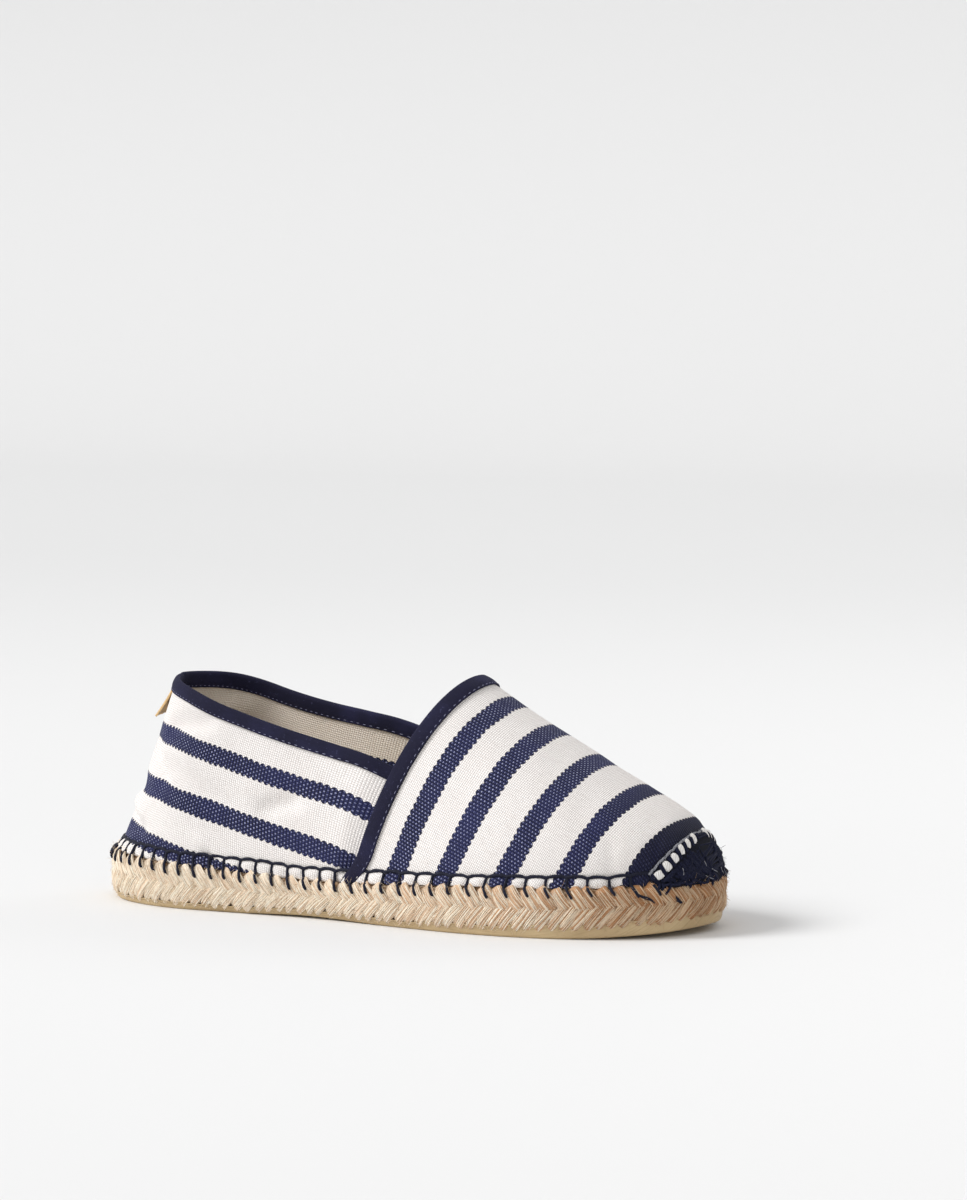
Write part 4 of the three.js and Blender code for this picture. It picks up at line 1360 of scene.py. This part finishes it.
def rope_hair():
    """a hair that lies along the rope's face and lifts off at its end"""
    side, u = ring(np.array([chance.uniform(0, GIRTH)]))
    at = float(share(u)[0])
    rise = chance.uniform(0.02, 1.0)
    foot = outline(u, side, float(plait_out(rise)) + 0.95)[0]
    away = np.append(outline(u, side, 1.0)[0] - outline(u, side)[0], 0.0)
    start = np.array([*foot, float(rope_low(at) + (rope_high(at) - rope_low(at)) * rise)])
    along = np.array([-away[1], away[0], 0.0])
    heading = chance.uniform(0, 2 * np.pi)
    ahead = along * np.cos(heading) + np.array([0, 0, 1.0]) * np.sin(heading) * 0.7
    long = 2.0 + 4.5 * chance.uniform() ** 2
    t = np.linspace(0, 1, 6)[:, None]
    curl = chance.normal(0, 0.5, 3)
    stand = 0.1 + 1.3 * chance.uniform() ** 3
    path = start + ahead * long * t + curl * t ** 2 * 1.2 + away * (stand * t ** 1.5 + 0.1)
    path[:, 2] = np.maximum(path[:, 2], 1.0)
    return path, np.broadcast_to(away + 0.01, path.shape)


hair_look = jute_material("jute_hair", srgb(252, 234, 208), srgb(230, 200, 162), srgb(178, 138, 98))
hairs("jute_fibres", 6000, rope_hair, hair_look)

# %% [markdown]
# ## Rubber tread
# The rope is dipped into and glued onto a gum rubber tread. It is thin at the heel and climbs the
# rope at the toe, where its edge is a thin wavy lip. The underside has shallow moulded ribs.

# %% Rubber material and tread
def rubber_material():
    made, tree, shader = new_material("gum_rubber")
    place = node(tree, "ShaderNodeTexCoord")
    cloud = node(tree, "ShaderNodeTexNoise", Vector=place.outputs["Object"], Scale=38.0, Detail=5.0)
    grit = node(tree, "ShaderNodeTexNoise", Vector=place.outputs["Object"], Scale=800.0, Detail=3.0)
    streak = node(tree, "ShaderNodeTexNoise", {"noise_dimensions": "2D"},
                  Vector=node(tree, "ShaderNodeMapping", Vector=place.outputs["UV"],
                              Scale=(0.05, 1.6, 1.0)).outputs[0], Scale=1.0, Detail=4.0)
    colour = mix_colour(tree, remap(tree, cloud.outputs[0], 0.3, 0.7), srgb(186, 161, 121),
                        srgb(206, 183, 143))
    colour = mix_colour(tree, remap(tree, streak.outputs[0], 0.45, 0.75, 0.0, 0.5), colour,
                        srgb(168, 141, 102))
    colour = mix_colour(tree, remap(tree, grit.outputs[0], 0.6, 0.8, 0.0, 0.4), colour,
                        srgb(150, 126, 92))
    tree.links.new(colour, shader.inputs["Base Color"])
    # moulded ribs across the underside, in a zigzag
    axis = node(tree, "ShaderNodeSeparateXYZ", Vector=place.outputs["Object"])
    zigzag = sum_of(tree, "PINGPONG", axis.outputs[1], 0.005)
    wave = sum_of(tree, "SINE", sum_of(tree, "MULTIPLY", sum_of(tree, "ADD", axis.outputs[0], zigzag),
                                       2 * math.pi / 0.0042))
    under = remap(tree, axis.outputs[2], 0.0042, 0.0006)
    facing = node(tree, "ShaderNodeSeparateXYZ",
                  Vector=node(tree, "ShaderNodeNewGeometry").outputs["True Normal"]).outputs[2]
    under = sum_of(tree, "MULTIPLY", under, remap(tree, facing, -0.6, -0.9))
    ribs = sum_of(tree, "MULTIPLY", sum_of(tree, "MULTIPLY", wave, under), 2.5)
    height = sum_of(tree, "MULTIPLY_ADD", grit.outputs[0], 0.5, ribs)
    height = sum_of(tree, "MULTIPLY_ADD", streak.outputs[0], 0.8, height)
    bump = node(tree, "ShaderNodeBump", Height=height, Strength=0.5, Distance=0.25 * MM)
    tree.links.new(bump.outputs[0], shader.inputs["Normal"])
    tree.links.new(remap(tree, cloud.outputs[0], 0.3, 0.7, 0.42, 0.58), shader.inputs["Roughness"])
    shader.inputs["Specular IOR Level"].default_value = 0.4
    return made


LIP = 1.7                       # the lip climbs this far past the bottom of the strands
LIP_WAVE = 0.35


def tread_rows(at, run):
    floor = lift(at)
    climb = LIP * smooth(0.5, 0.85, at)
    wave = LIP_WAVE * (np.sin(run / 5.3) + 0.6 * np.sin(run / 2.9 + 1.0)) * smooth(0.3, 0.7, at)
    lip = floor + rubber_shows(at) + 0.8 + climb * 0.6 + wave
    yield floor, -6.0, 1.0
    yield floor, -6.0, 0.6
    yield floor, -6.0, 0.25
    yield floor, -3.0, 0.0
    yield floor, -1.2, 0.0
    yield floor + 0.25, -0.6, 0.0
    yield floor + 0.9, -0.3, 0.0
    yield floor + (lip - floor) * 0.55, 0.0, 0.0
    yield floor + (lip - floor) * 0.80, 0.15, 0.0
    yield lip - 0.35, 0.75, 0.0
    yield lip - 0.08, 0.90, 0.0
    yield lip, 0.72, 0.0
    yield lip - 0.15, 0.25, 0.0
    yield lip - 0.4, -1.2, 0.0
    yield floor + 2.0, -3.0, 0.0
    yield floor + 2.0, -6.0, 1.0


sole_slab("rubber_tread", tread_rows, rubber_material(), ["outsole"], columns=480)

# %% [markdown]
# ## Footbed
# Inside lies a thin cloth-covered footbed. It dips a little under the heel and the ball, where a
# foot will press it, and its cover is a plain natural cotton, so a fine weave is all it needs.

# %% Footbed
def plain_cloth(name, light, shade, pitch=0.7):
    made, tree, shader = new_material(name)
    place = node(tree, "ShaderNodeTexCoord")
    metre = node(tree, "ShaderNodeMapping", Vector=place.outputs["Object"],
                 Scale=(1000, 1000, 1000)).outputs[0]
    axis = node(tree, "ShaderNodeSeparateXYZ", Vector=metre)
    weave = use(tree, WEAVE, **{"Across": axis.outputs[0], "Along": axis.outputs[1],
                                "Across Pitch": pitch, "Along Pitch": pitch})
    patch = node(tree, "ShaderNodeTexNoise", Vector=place.outputs["Object"], Scale=30.0, Detail=4.0)
    colour = mix_colour(tree, remap(tree, weave.outputs["Height"], 0.1, 0.8), shade, light)
    colour = mix_colour(tree, remap(tree, patch.outputs[0], 0.4, 0.75, 0.0, 0.5), colour, shade)
    tree.links.new(colour, shader.inputs["Base Color"])
    bump = node(tree, "ShaderNodeBump", Height=weave.outputs["Height"], Strength=0.7,
                Distance=0.12 * MM)
    tree.links.new(bump.outputs[0], shader.inputs["Normal"])
    shader.inputs["Roughness"].default_value = 0.85
    shader.inputs["Sheen Weight"].default_value = 0.15
    return made


INSOLE = 2.6
INSOLE_EDGE = -4.8


def footbed_rows(at, _run):
    base = seam_height(at)
    dip = 0.7 * np.exp(-((at - 0.13) / 0.10) ** 2) + 0.5 * np.exp(-((at - 0.68) / 0.12) ** 2)
    top = base + INSOLE
    yield base, INSOLE_EDGE, 1.0
    yield base, INSOLE_EDGE, 0.0
    yield base + 1.3, INSOLE_EDGE + 0.1, 0.0
    yield top - 0.45, INSOLE_EDGE - 0.25, 0.0
    yield top - 0.10, INSOLE_EDGE - 0.9, 0.0
    yield top, INSOLE_EDGE - 1.8, 0.0
    for inward in (0.2, 0.4, 0.6, 0.8, 1.0):
        yield top - dip * np.sin(np.pi / 2 * inward) ** 2, INSOLE_EDGE - 1.8, inward


footbed_look = plain_cloth("footbed_cloth", srgb(232, 220, 198), srgb(196, 178, 148))
sole_slab("insole_cloth", footbed_rows, footbed_look, ["insole"], columns=320)

# %% [markdown]
# ## The blanket stitch
# Canvas and rope are joined by hand with a stout dark thread. One line of it runs round the shoe a
# few millimetres above the rope, and from it a leg goes down into the rope at every stitch. The
# thread is a two-ply twist, so its section is slightly waisted and turns as it goes.

# %% Thread round the hem
THREAD = 0.56                   # radius
seam_thread_look = thread_material("seam_thread", srgb(8, 9, 20), srgb(32, 35, 58), rough=0.7)


def hem_at(run, side, up, lift):
    """a point on the puffed hem, lifted off it, with the direction away from the cloth"""
    u = station_of_run(run, side)
    lengths = rib_lengths(u, side)
    v = v_of_climb(np.maximum(up, 0)[:, None], lengths)[:, 0]
    out = canvas_out(u, side, v)
    rise = puff(run, side, np.maximum(up, 0)) + lift
    return canvas(u, side, v) + out * rise[:, None], out


def leg_drop(run, side, drop, out):
    """a point on the rope below the seam"""
    u = station_of_run(run, side)
    foot = outline(u, side, out)
    away = foot - outline(u, side, out - 1.0)
    height = seam_height(share(u)) - drop
    return (np.concatenate([foot, height[:, None]], axis=1),
            np.concatenate([away, np.zeros((len(u), 1))], axis=1))


LEG_LIFT = np.array([0.34, 0.34, 0.34, 0.38, 0.60, 0.95])      # off the cloth, top to bottom
# a leg's lower part: how far below the seam, and how far out from the outline
LEG_BELOW = {"drop": (0.1, 0.9, 1.7, 2.4, 3.0, 3.6), "out": (0.75, 1.25, 1.75, 2.00, 1.75, 0.50)}


def blanket_stitch():
    rods = []
    signed = np.arange(-WRAP_RUN[OUTER] - 3, WRAP_RUN[INNER] + 3, STITCH / 10)
    side = np.where(signed > 0, INNER, OUTER)
    run = np.abs(signed)
    sag = 0.55 * np.abs(np.cos(np.pi * beat_at(run))) ** 5
    drift = 0.26 * np.sin(run / 9.7 + side) + 0.18 * np.sin(run / 4.1 + 2.0 * side)
    line, out = hem_at(run, side, HEM + 0.15 - sag + drift, 0.34)
    sweep(rods, line, out, THREAD * 1.08, THREAD, around=10, ply=2, twist=1.3)
    for side_now, last in WRAP_RUN.items():
        for k in range(1 if side_now == INNER else 0, int(beat_at(last)) + 1):
            jitter = chance.uniform(-1, 1, 4)
            up = np.array([HEM - 0.1, HEM - 0.8, 3.2, 2.2, 1.2, 0.5]) + 0.12 * jitter[0]
            here = leg_run(k)
            sway = 0.30 * jitter[1] + 0.30 * jitter[2] * (HEM - up) / HEM
            cloth, out = hem_at(here + leg_bend(here, up) + sway, np.full(6, side_now), up,
                                LEG_LIFT)
            drop = np.array(LEG_BELOW["drop"]) * (1 + 0.20 * jitter[3])
            low = here + leg_bend(here, -drop) + sway[-1] + 0.10 * drop * jitter[2]
            rope, away = leg_drop(low, np.full(6, side_now), drop, np.array(LEG_BELOW["out"]))
            size = THREAD * np.array([.8, 1, 1, 1, 1, 1, 1, 1, 1, .95, .85, .4])
            sweep(rods, np.concatenate([cloth, rope]), np.concatenate([out, away]), size, size,
                  around=8, ply=2, twist=1.3, start=(k * 9.0, 0.0))
    return piece("seam_thread", join_rods(rods), [seam_thread_look])


blanket_stitch()

# %% [markdown]
# ## The toe
# At the toe the cloth has more fullness than the sole, so the maker gathers it under a close row
# of stitches. The navy edge frays a little, small tucks of cream lining show between the
# threads as a row of ovals, and below them the threads pile up into a dense dark band.

# %% Places on the toe
# The gathered edge of the cloth: how far forward, and how high up the rib. a is 0 on the ridge.
TOE_EDGE = {"a":  (0.0, 0.2, 0.45, 0.75, 0.9, 1.0),
            "at": (0.985, 0.976, 0.959, 0.946, 0.939, 0.933),
            "v":  (1.0, 0.907, 0.636, 0.357, 0.241, 0.120)}
TOE_FOOT_AT = 0.945             # where the outermost thread meets the rope
toe_edge_at, toe_edge_v = column(TOE_EDGE, "at", key="a"), column(TOE_EDGE, "v", key="a")
TOE_LINES, TOE_STEPS = 80, 25


def toe_lines(side):
    """stations, climbs and lengths down even lines over half of the toe, from edge to seam"""
    fine = np.linspace(0, 1, 401)
    edge = canvas(station(toe_edge_at(fine)), side, toe_edge_v(fine))
    gone = np.concatenate([[0], np.cumsum(np.linalg.norm(np.diff(edge, axis=0), axis=1))])
    even = np.linspace(0, 1, TOE_LINES + 1)
    a = np.interp(even, gone / gone[-1], fine)
    last = RUNS[side][-1]
    foot = station_of_run(last - even * (last - run_to(station(TOE_FOOT_AT), side)), side)
    step = np.linspace(0, 1, TOE_STEPS)
    top = station(toe_edge_at(a))
    u = top[:, None] + (foot - top)[:, None] * step
    v = toe_edge_v(a)[:, None] * (1 - step)
    gaps = np.linalg.norm(np.diff(canvas(u, side, v), axis=1), axis=2)
    down = np.concatenate([np.zeros((len(a), 1)), np.cumsum(gaps, axis=1)], axis=1)
    return u, v, down, gone[-1]


TOE = {side: toe_lines(side) for side in (OUTER, INNER)}
print("gathered edge: %.0f and %.0f mm long" % (TOE[OUTER][3], TOE[INNER][3]))


def toe_line(a):
    """one line of the toe; a is -1 at the outer end of the edge and 1 at the inner end"""
    u, v, down, _ = TOE[INNER if a > 0 else OUTER]
    row = min(abs(a), 1) * TOE_LINES
    i = min(int(row), TOE_LINES - 1)
    rest = row - i
    return tuple((1 - rest) * part[i] + rest * part[i + 1] for part in (u, v, down))


def toe_tall(a):
    return float(toe_line(a)[2][-1])


def toe_at(a, down, lift_by):
    """points and outward directions on the toe, so many millimetres down from the edge"""
    a, down, lift_by = np.broadcast_arrays(*(np.asarray(value, float)
                                             for value in (a, down, lift_by)))
    side = np.where(a > 0, INNER, OUTER)
    lines = [toe_line(one) for one in a]
    u, v = (np.array([np.interp(far, line[2], line[part]) for far, line in zip(down, lines)])
            for part in (0, 1))
    past = down - np.array([line[2][-1] for line in lines])
    out = canvas_out(u, side, v)
    level = unit(out * (1, 1, 0))
    swing = smooth(-2.0, 1.0, past)[:, None]
    out = unit(out * (1 - swing) + level * swing)
    spots = canvas(u, side, v) + out * lift_by[:, None]
    spots = spots + level * (1.3 * smooth(-1.5, 1.0, past))[:, None]
    spots[:, 2] -= np.maximum(past, 0)
    return spots, out


# %% The pad of packed thread
# A dark pad fills the space between the gathered edge and the rope, so no canvas shows between the
# threads that lie on it. It is painted darker than those threads, as painted shade deep among them.
PAD = {"down": (-0.3, 0.0, 0.6, 1.6, 3.0, 4.6, 6.5, 9.0, 12.0, 16.0),
       "high": (-0.9, 0.15, 0.40, 0.40, 0.45, 0.8, 1.3, 1.6, 1.6, 1.4)}
pad_high = column(PAD, "high", key="down")


def toe_pad():
    a = np.linspace(-1, 1, 97)
    rows = []
    for line in a:
        tall = toe_tall(line)
        down = np.linspace(0, 1, 17) * (tall + 1.3)
        down = np.concatenate([[0.0], down])
        high = pad_high(down * max(1, 9.0 / tall)) * (0.45 + 0.55 * smooth(0, 0.16, 1 - abs(line)))
        high = high * (1 - 0.55 * smooth(tall - 1.0, tall + 1.3, down))
        high = high + 0.12 * np.sin(line * 57 + down * 1.9) * smooth(3, 5, down)
        high[0] = -0.9
        rows.append(toe_at(np.full(len(down), line), down, high)[0])
    points = np.stack(rows)
    steps = np.linalg.norm(np.diff(points, axis=1), axis=2)
    far = np.concatenate([np.zeros((len(a), 1)), np.cumsum(steps, axis=1)], axis=1)
    flat = np.stack([far, np.broadcast_to(a[:, None] * TOE[OUTER][3], far.shape)], -1)
    bm = bmesh.new()
    skin(bm, points, flat)
    bmesh.ops.reverse_faces(bm, faces=bm.faces)
    made = piece("toe_pad", bm, [pad_shaded_look], closed=False)
    thicken(made, 0.6)
    return made


toe_thread_look = thread_material("toe_thread", srgb(6, 7, 17), srgb(36, 40, 70), rough=0.85, sheen=0)
pad_shaded_look = thread_material("toe_pad", srgb(4, 5, 12), srgb(16, 18, 36), rough=0.9, sheen=0)
toe_pad()

# %% Tucks of lining
# Each tuck is an oval pillow. The end ones lie along the edge and the others stand across it.
TUCKS = 12
TUCK_SIZE = (2.35, 1.95, 1.15)  # half length, half width, half height
TUCK_DOWN = 3.7                 # from the edge to a tuck's middle
tuck_a = -0.955 + 1.91 * (np.arange(TUCKS) + 0.5) / TUCKS


def tuck_turn(a):
    """angle from the edge's own direction to a tuck's length"""
    return math.radians(12 + 60 * float(smooth(0.95, 0.66, abs(a)))) if abs(a) > 0.66 else 1.25


def toe_tucks():
    rods = []
    for k, a in enumerate(tuck_a):
        a = a + chance.uniform(-0.006, 0.006)
        near = min(TUCK_DOWN, 0.52 * toe_tall(a))
        spot, out = toe_at(np.array([a - 0.01, a, a + 0.01]), np.full(3, near), np.full(3, 0.80))
        middle, away = spot[1], out[1]
        forward = unit(spot[2] - spot[0]) * (1 if a < 0 else -1)
        below = toe_at(np.array([a]), np.array([near + 0.5]), np.array([0.8]))[0][0] - middle
        turn = tuck_turn(a) + chance.uniform(-0.08, 0.08)
        ahead = unit(forward * math.cos(turn) + unit(below) * math.sin(turn))
        size = np.array(TUCK_SIZE) * chance.uniform(0.86, 1.10, 3)
        t = np.linspace(-1, 1, 11)
        path = middle + ahead * (size[0] * np.sin(t * np.pi / 2))[:, None]
        path = path - away * (0.35 * np.abs(t) ** 3)[:, None]
        body = np.maximum(np.cos(t * np.pi / 2), 0.02) ** 0.75
        sweep(rods, path, np.broadcast_to(away, path.shape), size[1] * body, size[2] * body,
              around=16, ply=5, phase=k, start=(k * 7.0, 0.0))
    return piece("toe_tucks", join_rods(rods), [lining_look])


lining_look = plain_cloth("cream_lining", srgb(250, 248, 244), srgb(214, 208, 204), pitch=0.6)
toe_tucks()


# %% Gathered threads
# From the edge the threads lean forwards as they go down, in between the tucks, and below them
# they pile up across each other down to the rope.
def toe_threads():
    rods = []

    def thread(a, down, lift_by, radius):
        spots, out = toe_at(np.clip(a, -0.995, 0.995), down, lift_by)
        size = radius * np.concatenate([[0.6], np.ones(len(a) - 2), [0.5]])
        sweep(rods, spots, out, size, size * 0.9, around=8, ply=2, twist=1.2,
              start=(chance.uniform(0, 50), 0.0))

    t = np.linspace(0.0, 1.0, 12)
    gap = 1.91 / TUCKS
    for k in range(TUCKS + 1):
        middle = -0.955 + gap * k
        towards = 1 if middle < 0 else -1
        lean_now = 0.6 * gap * (1 if abs(middle) < 0.7 else 0.4)
        for beside in (-0.09, 0.09):
            a = middle + (beside + 0.02 * chance.normal()) * gap
            long = min(6.6, toe_tall(middle) * 0.9)
            arch = 0.30 + 1.30 * np.sin(np.pi * np.clip(t * 0.80, 0, 1)) ** 0.8
            thread(a + towards * lean_now * (t - 0.5), 0.2 + long * t, arch, 0.46)
    # the dense band below the tucks, mostly leaning one way
    for _ in range(150):
        a = chance.uniform(-0.98, 0.98)
        tall = toe_tall(a)
        first = min(TUCK_DOWN + chance.uniform(1.3, 3.0), 0.75 * tall)
        last = tall + chance.uniform(0.2, 2.2)
        lean_now = (1 if a < 0 else -1) * chance.normal(0.10, 0.10)
        high = pad_high(first + (last - first) * t) + chance.uniform(0.0, 0.9)
        ends = np.sin(np.pi * np.clip(t, 0.02, 0.98)) ** 0.4
        high = high * (0.35 + 0.65 * ends) * (0.5 + 0.5 * float(smooth(0, 0.16, 1 - abs(a))))
        thread(a + lean_now * t, first + (last - first) * t, high, chance.uniform(0.42, 0.74))
    # threads that wander across it
    for _ in range(46):
        first, reach = chance.uniform(-0.95, 0.8), chance.uniform(0.10, 0.34)
        a = first + reach * np.linspace(0, 1, 14)
        tall = np.array([toe_tall(one) for one in np.clip(a, -1, 1)])
        low = chance.uniform(0.50, 1.02) + 0.04 * np.sin(np.linspace(0, chance.uniform(4, 9), 14))
        down = np.maximum(tall * low, np.minimum(TUCK_DOWN + 2.4, tall * 0.8))
        arch = pad_high(down) + 0.5 + 0.6 * np.sin(np.linspace(0, np.pi, 14))
        arch = arch * (0.5 + 0.5 * smooth(0, 0.16, 1 - np.abs(a)))
        thread(a, down, arch, chance.uniform(0.38, 0.58))
    return piece("toe_threads", join_rods(rods), [toe_thread_look])


toe_threads()


# %% Frayed edge of the gathered cloth
# The cut edge is bound by grey yarn and stands up as a thin cord with a fringe of cotton ends.
def edge_roll():
    rods = []
    a = np.linspace(-1.0, 1.0, 160)
    wave = 0.16 * np.sin(a * 41) + 0.10 * np.sin(a * 97 + 1)
    high = 0.62 + 0.10 * np.sin(a * 63)
    spots, out = toe_at(a, np.maximum(wave + 0.15, 0.0), high)
    sweep(rods, spots, out, 0.50, 0.46, around=8, ply=2, twist=1.5)
    return piece("toe_edge", join_rods(rods), [fray_look])


def fray_hair():
    a = chance.uniform(-0.98, 0.98)
    spot, out = toe_at(np.array([a, a + 0.01]), np.array([0.15, 0.15]), 0.9)
    along = unit(spot[1] - spot[0])
    down = np.cross(along, out[0])
    heading = chance.normal(0, 0.8)
    ahead = along * np.cos(heading) * chance.choice([-1, 1]) + down * np.sin(heading)
    t = np.linspace(0, 1, 5)[:, None]
    path = spot[0] + ahead * chance.uniform(0.5, 1.3) * t + out[0] * (chance.uniform(0.0, 0.4) * t)
    return path, np.broadcast_to(out[0], path.shape)


def lint_hair():
    """dark fluff that stands off the pad"""
    a = chance.uniform(-0.98, 0.98)
    down = chance.uniform(0.45, 1.05) * toe_tall(a)
    spot, out = toe_at(np.array([a]), np.array([down]), np.array([pad_high(down) + 0.2]))
    t = np.linspace(0, 1, 6)[:, None]
    path = spot[0] + chance.normal(0, 0.9, 3) * t + chance.normal(0, 0.6, 3) * t ** 2 + out[0] * t
    return path, np.broadcast_to(out[0] + 0.01, path.shape)


def pale_end():
    """a pale thread end caught in the pad"""
    a = chance.uniform(-0.75, 0.75)
    down = chance.uniform(0.6, 1.0) * toe_tall(a)
    t = np.linspace(0, 1, 8)
    bend = chance.uniform(0.02, 0.08) * (1 if chance.uniform() > 0.5 else -1)
    spots, out = toe_at(a + bend * t ** 2, down + 2.6 * (t - 0.5), pad_high(down) + 1.35)
    return spots, out


fray_look = thread_material("frayed_cotton", srgb(74, 75, 84), srgb(188, 188, 194), rough=0.9)
edge_roll()
hairs("toe_fray", 300, fray_hair, fray_look, radius=0.08)
hairs("toe_lint", 200, lint_hair, toe_thread_look, radius=0.05)
hairs("toe_pale_ends", 9, pale_end, fray_look, radius=0.17)


# %% Thread ends in the groove of the plait
# share of the length at both ends, share of the rope's height at both ends
GROOVE_ENDS = {"from_at": (0.918, 0.965, 0.967),
               "to_at":   (0.946, 0.969, 0.972),
               "from_rise": (0.92, 0.66, 0.60),
               "to_rise":   (0.50, 0.50, 0.44)}


def groove_threads():
    rods = []
    for side in (OUTER, INNER):
        for at0, at1, rise0, rise1 in zip(*GROOVE_ENDS.values()):
            t = np.linspace(0, 1, 9)
            at = at0 + (at1 - at0) * t
            rise = rise0 + (rise1 - rise0) * t + 0.03 * np.sin(t * 7 + at0 * 99)
            u = station(at)
            foot = outline(u, side, 1.0 + 0.55 * np.sin(np.pi * t))
            height = rope_low(at) + (rope_high(at) - rope_low(at)) * rise
            path = np.concatenate([foot, height[:, None]], axis=1)
            away = np.concatenate([outline(u, side, 1.0) - outline(u, side), np.zeros((9, 1))], 1)
            size = 0.52 * np.sin(np.pi * np.clip(t, 0.1, 0.9)) ** 0.4
            sweep(rods, path, away, size, size, around=8, ply=2, twist=1.3)
    return piece("groove_threads", join_rods(rods), [seam_thread_look])


groove_threads()

# %% [markdown]
# ## Heel label
# A short tan ribbon is caught under the binding at the heel. It is left bare here. Its lower end
# stands off the canvas, because only its top is sewn.

# %% Label
LABEL = {"wide": 16.0, "from": 3.4, "to": 17.0}
label_look = plain_cloth("label_ribbon", srgb(244, 210, 156), srgb(204, 164, 108), pitch=0.55)


def heel_label():
    signed = np.linspace(-36, 36, 73)
    side = np.where(signed > 0, INNER, OUTER)
    run = np.abs(signed)
    u = station_of_run(run, side)
    lengths = rib_lengths(u, side)
    top = collar_climb(u, side, lengths)
    across = np.linspace(-LABEL["wide"] / 2, LABEL["wide"] / 2, 25)
    rows = []
    share_down = np.linspace(0, 1, 19)
    for t in share_down:
        down = LABEL["from"] + (LABEL["to"] - LABEL["from"]) * t
        stand = 0.55 + 3.3 * t ** 1.3
        spots, out, _ = quarter_at(signed, side, run, u, lengths, (top - down)[:, None], lift=stand)
        order = np.argsort(spots[:, 0, 1])
        place = spots[order, 0]
        rows.append(np.stack([np.interp(across, place[:, 1], place[:, k]) for k in range(3)], -1))
    points = np.stack(rows)
    flat = np.stack(np.meshgrid(across, share_down * (LABEL["to"] - LABEL["from"])), -1)
    bm = bmesh.new()
    skin(bm, points, flat)
    made = piece("heel_label", bm, [label_look], ["heel_tab"], closed=False)
    thicken(made, 0.8)
    return made


heel_label()
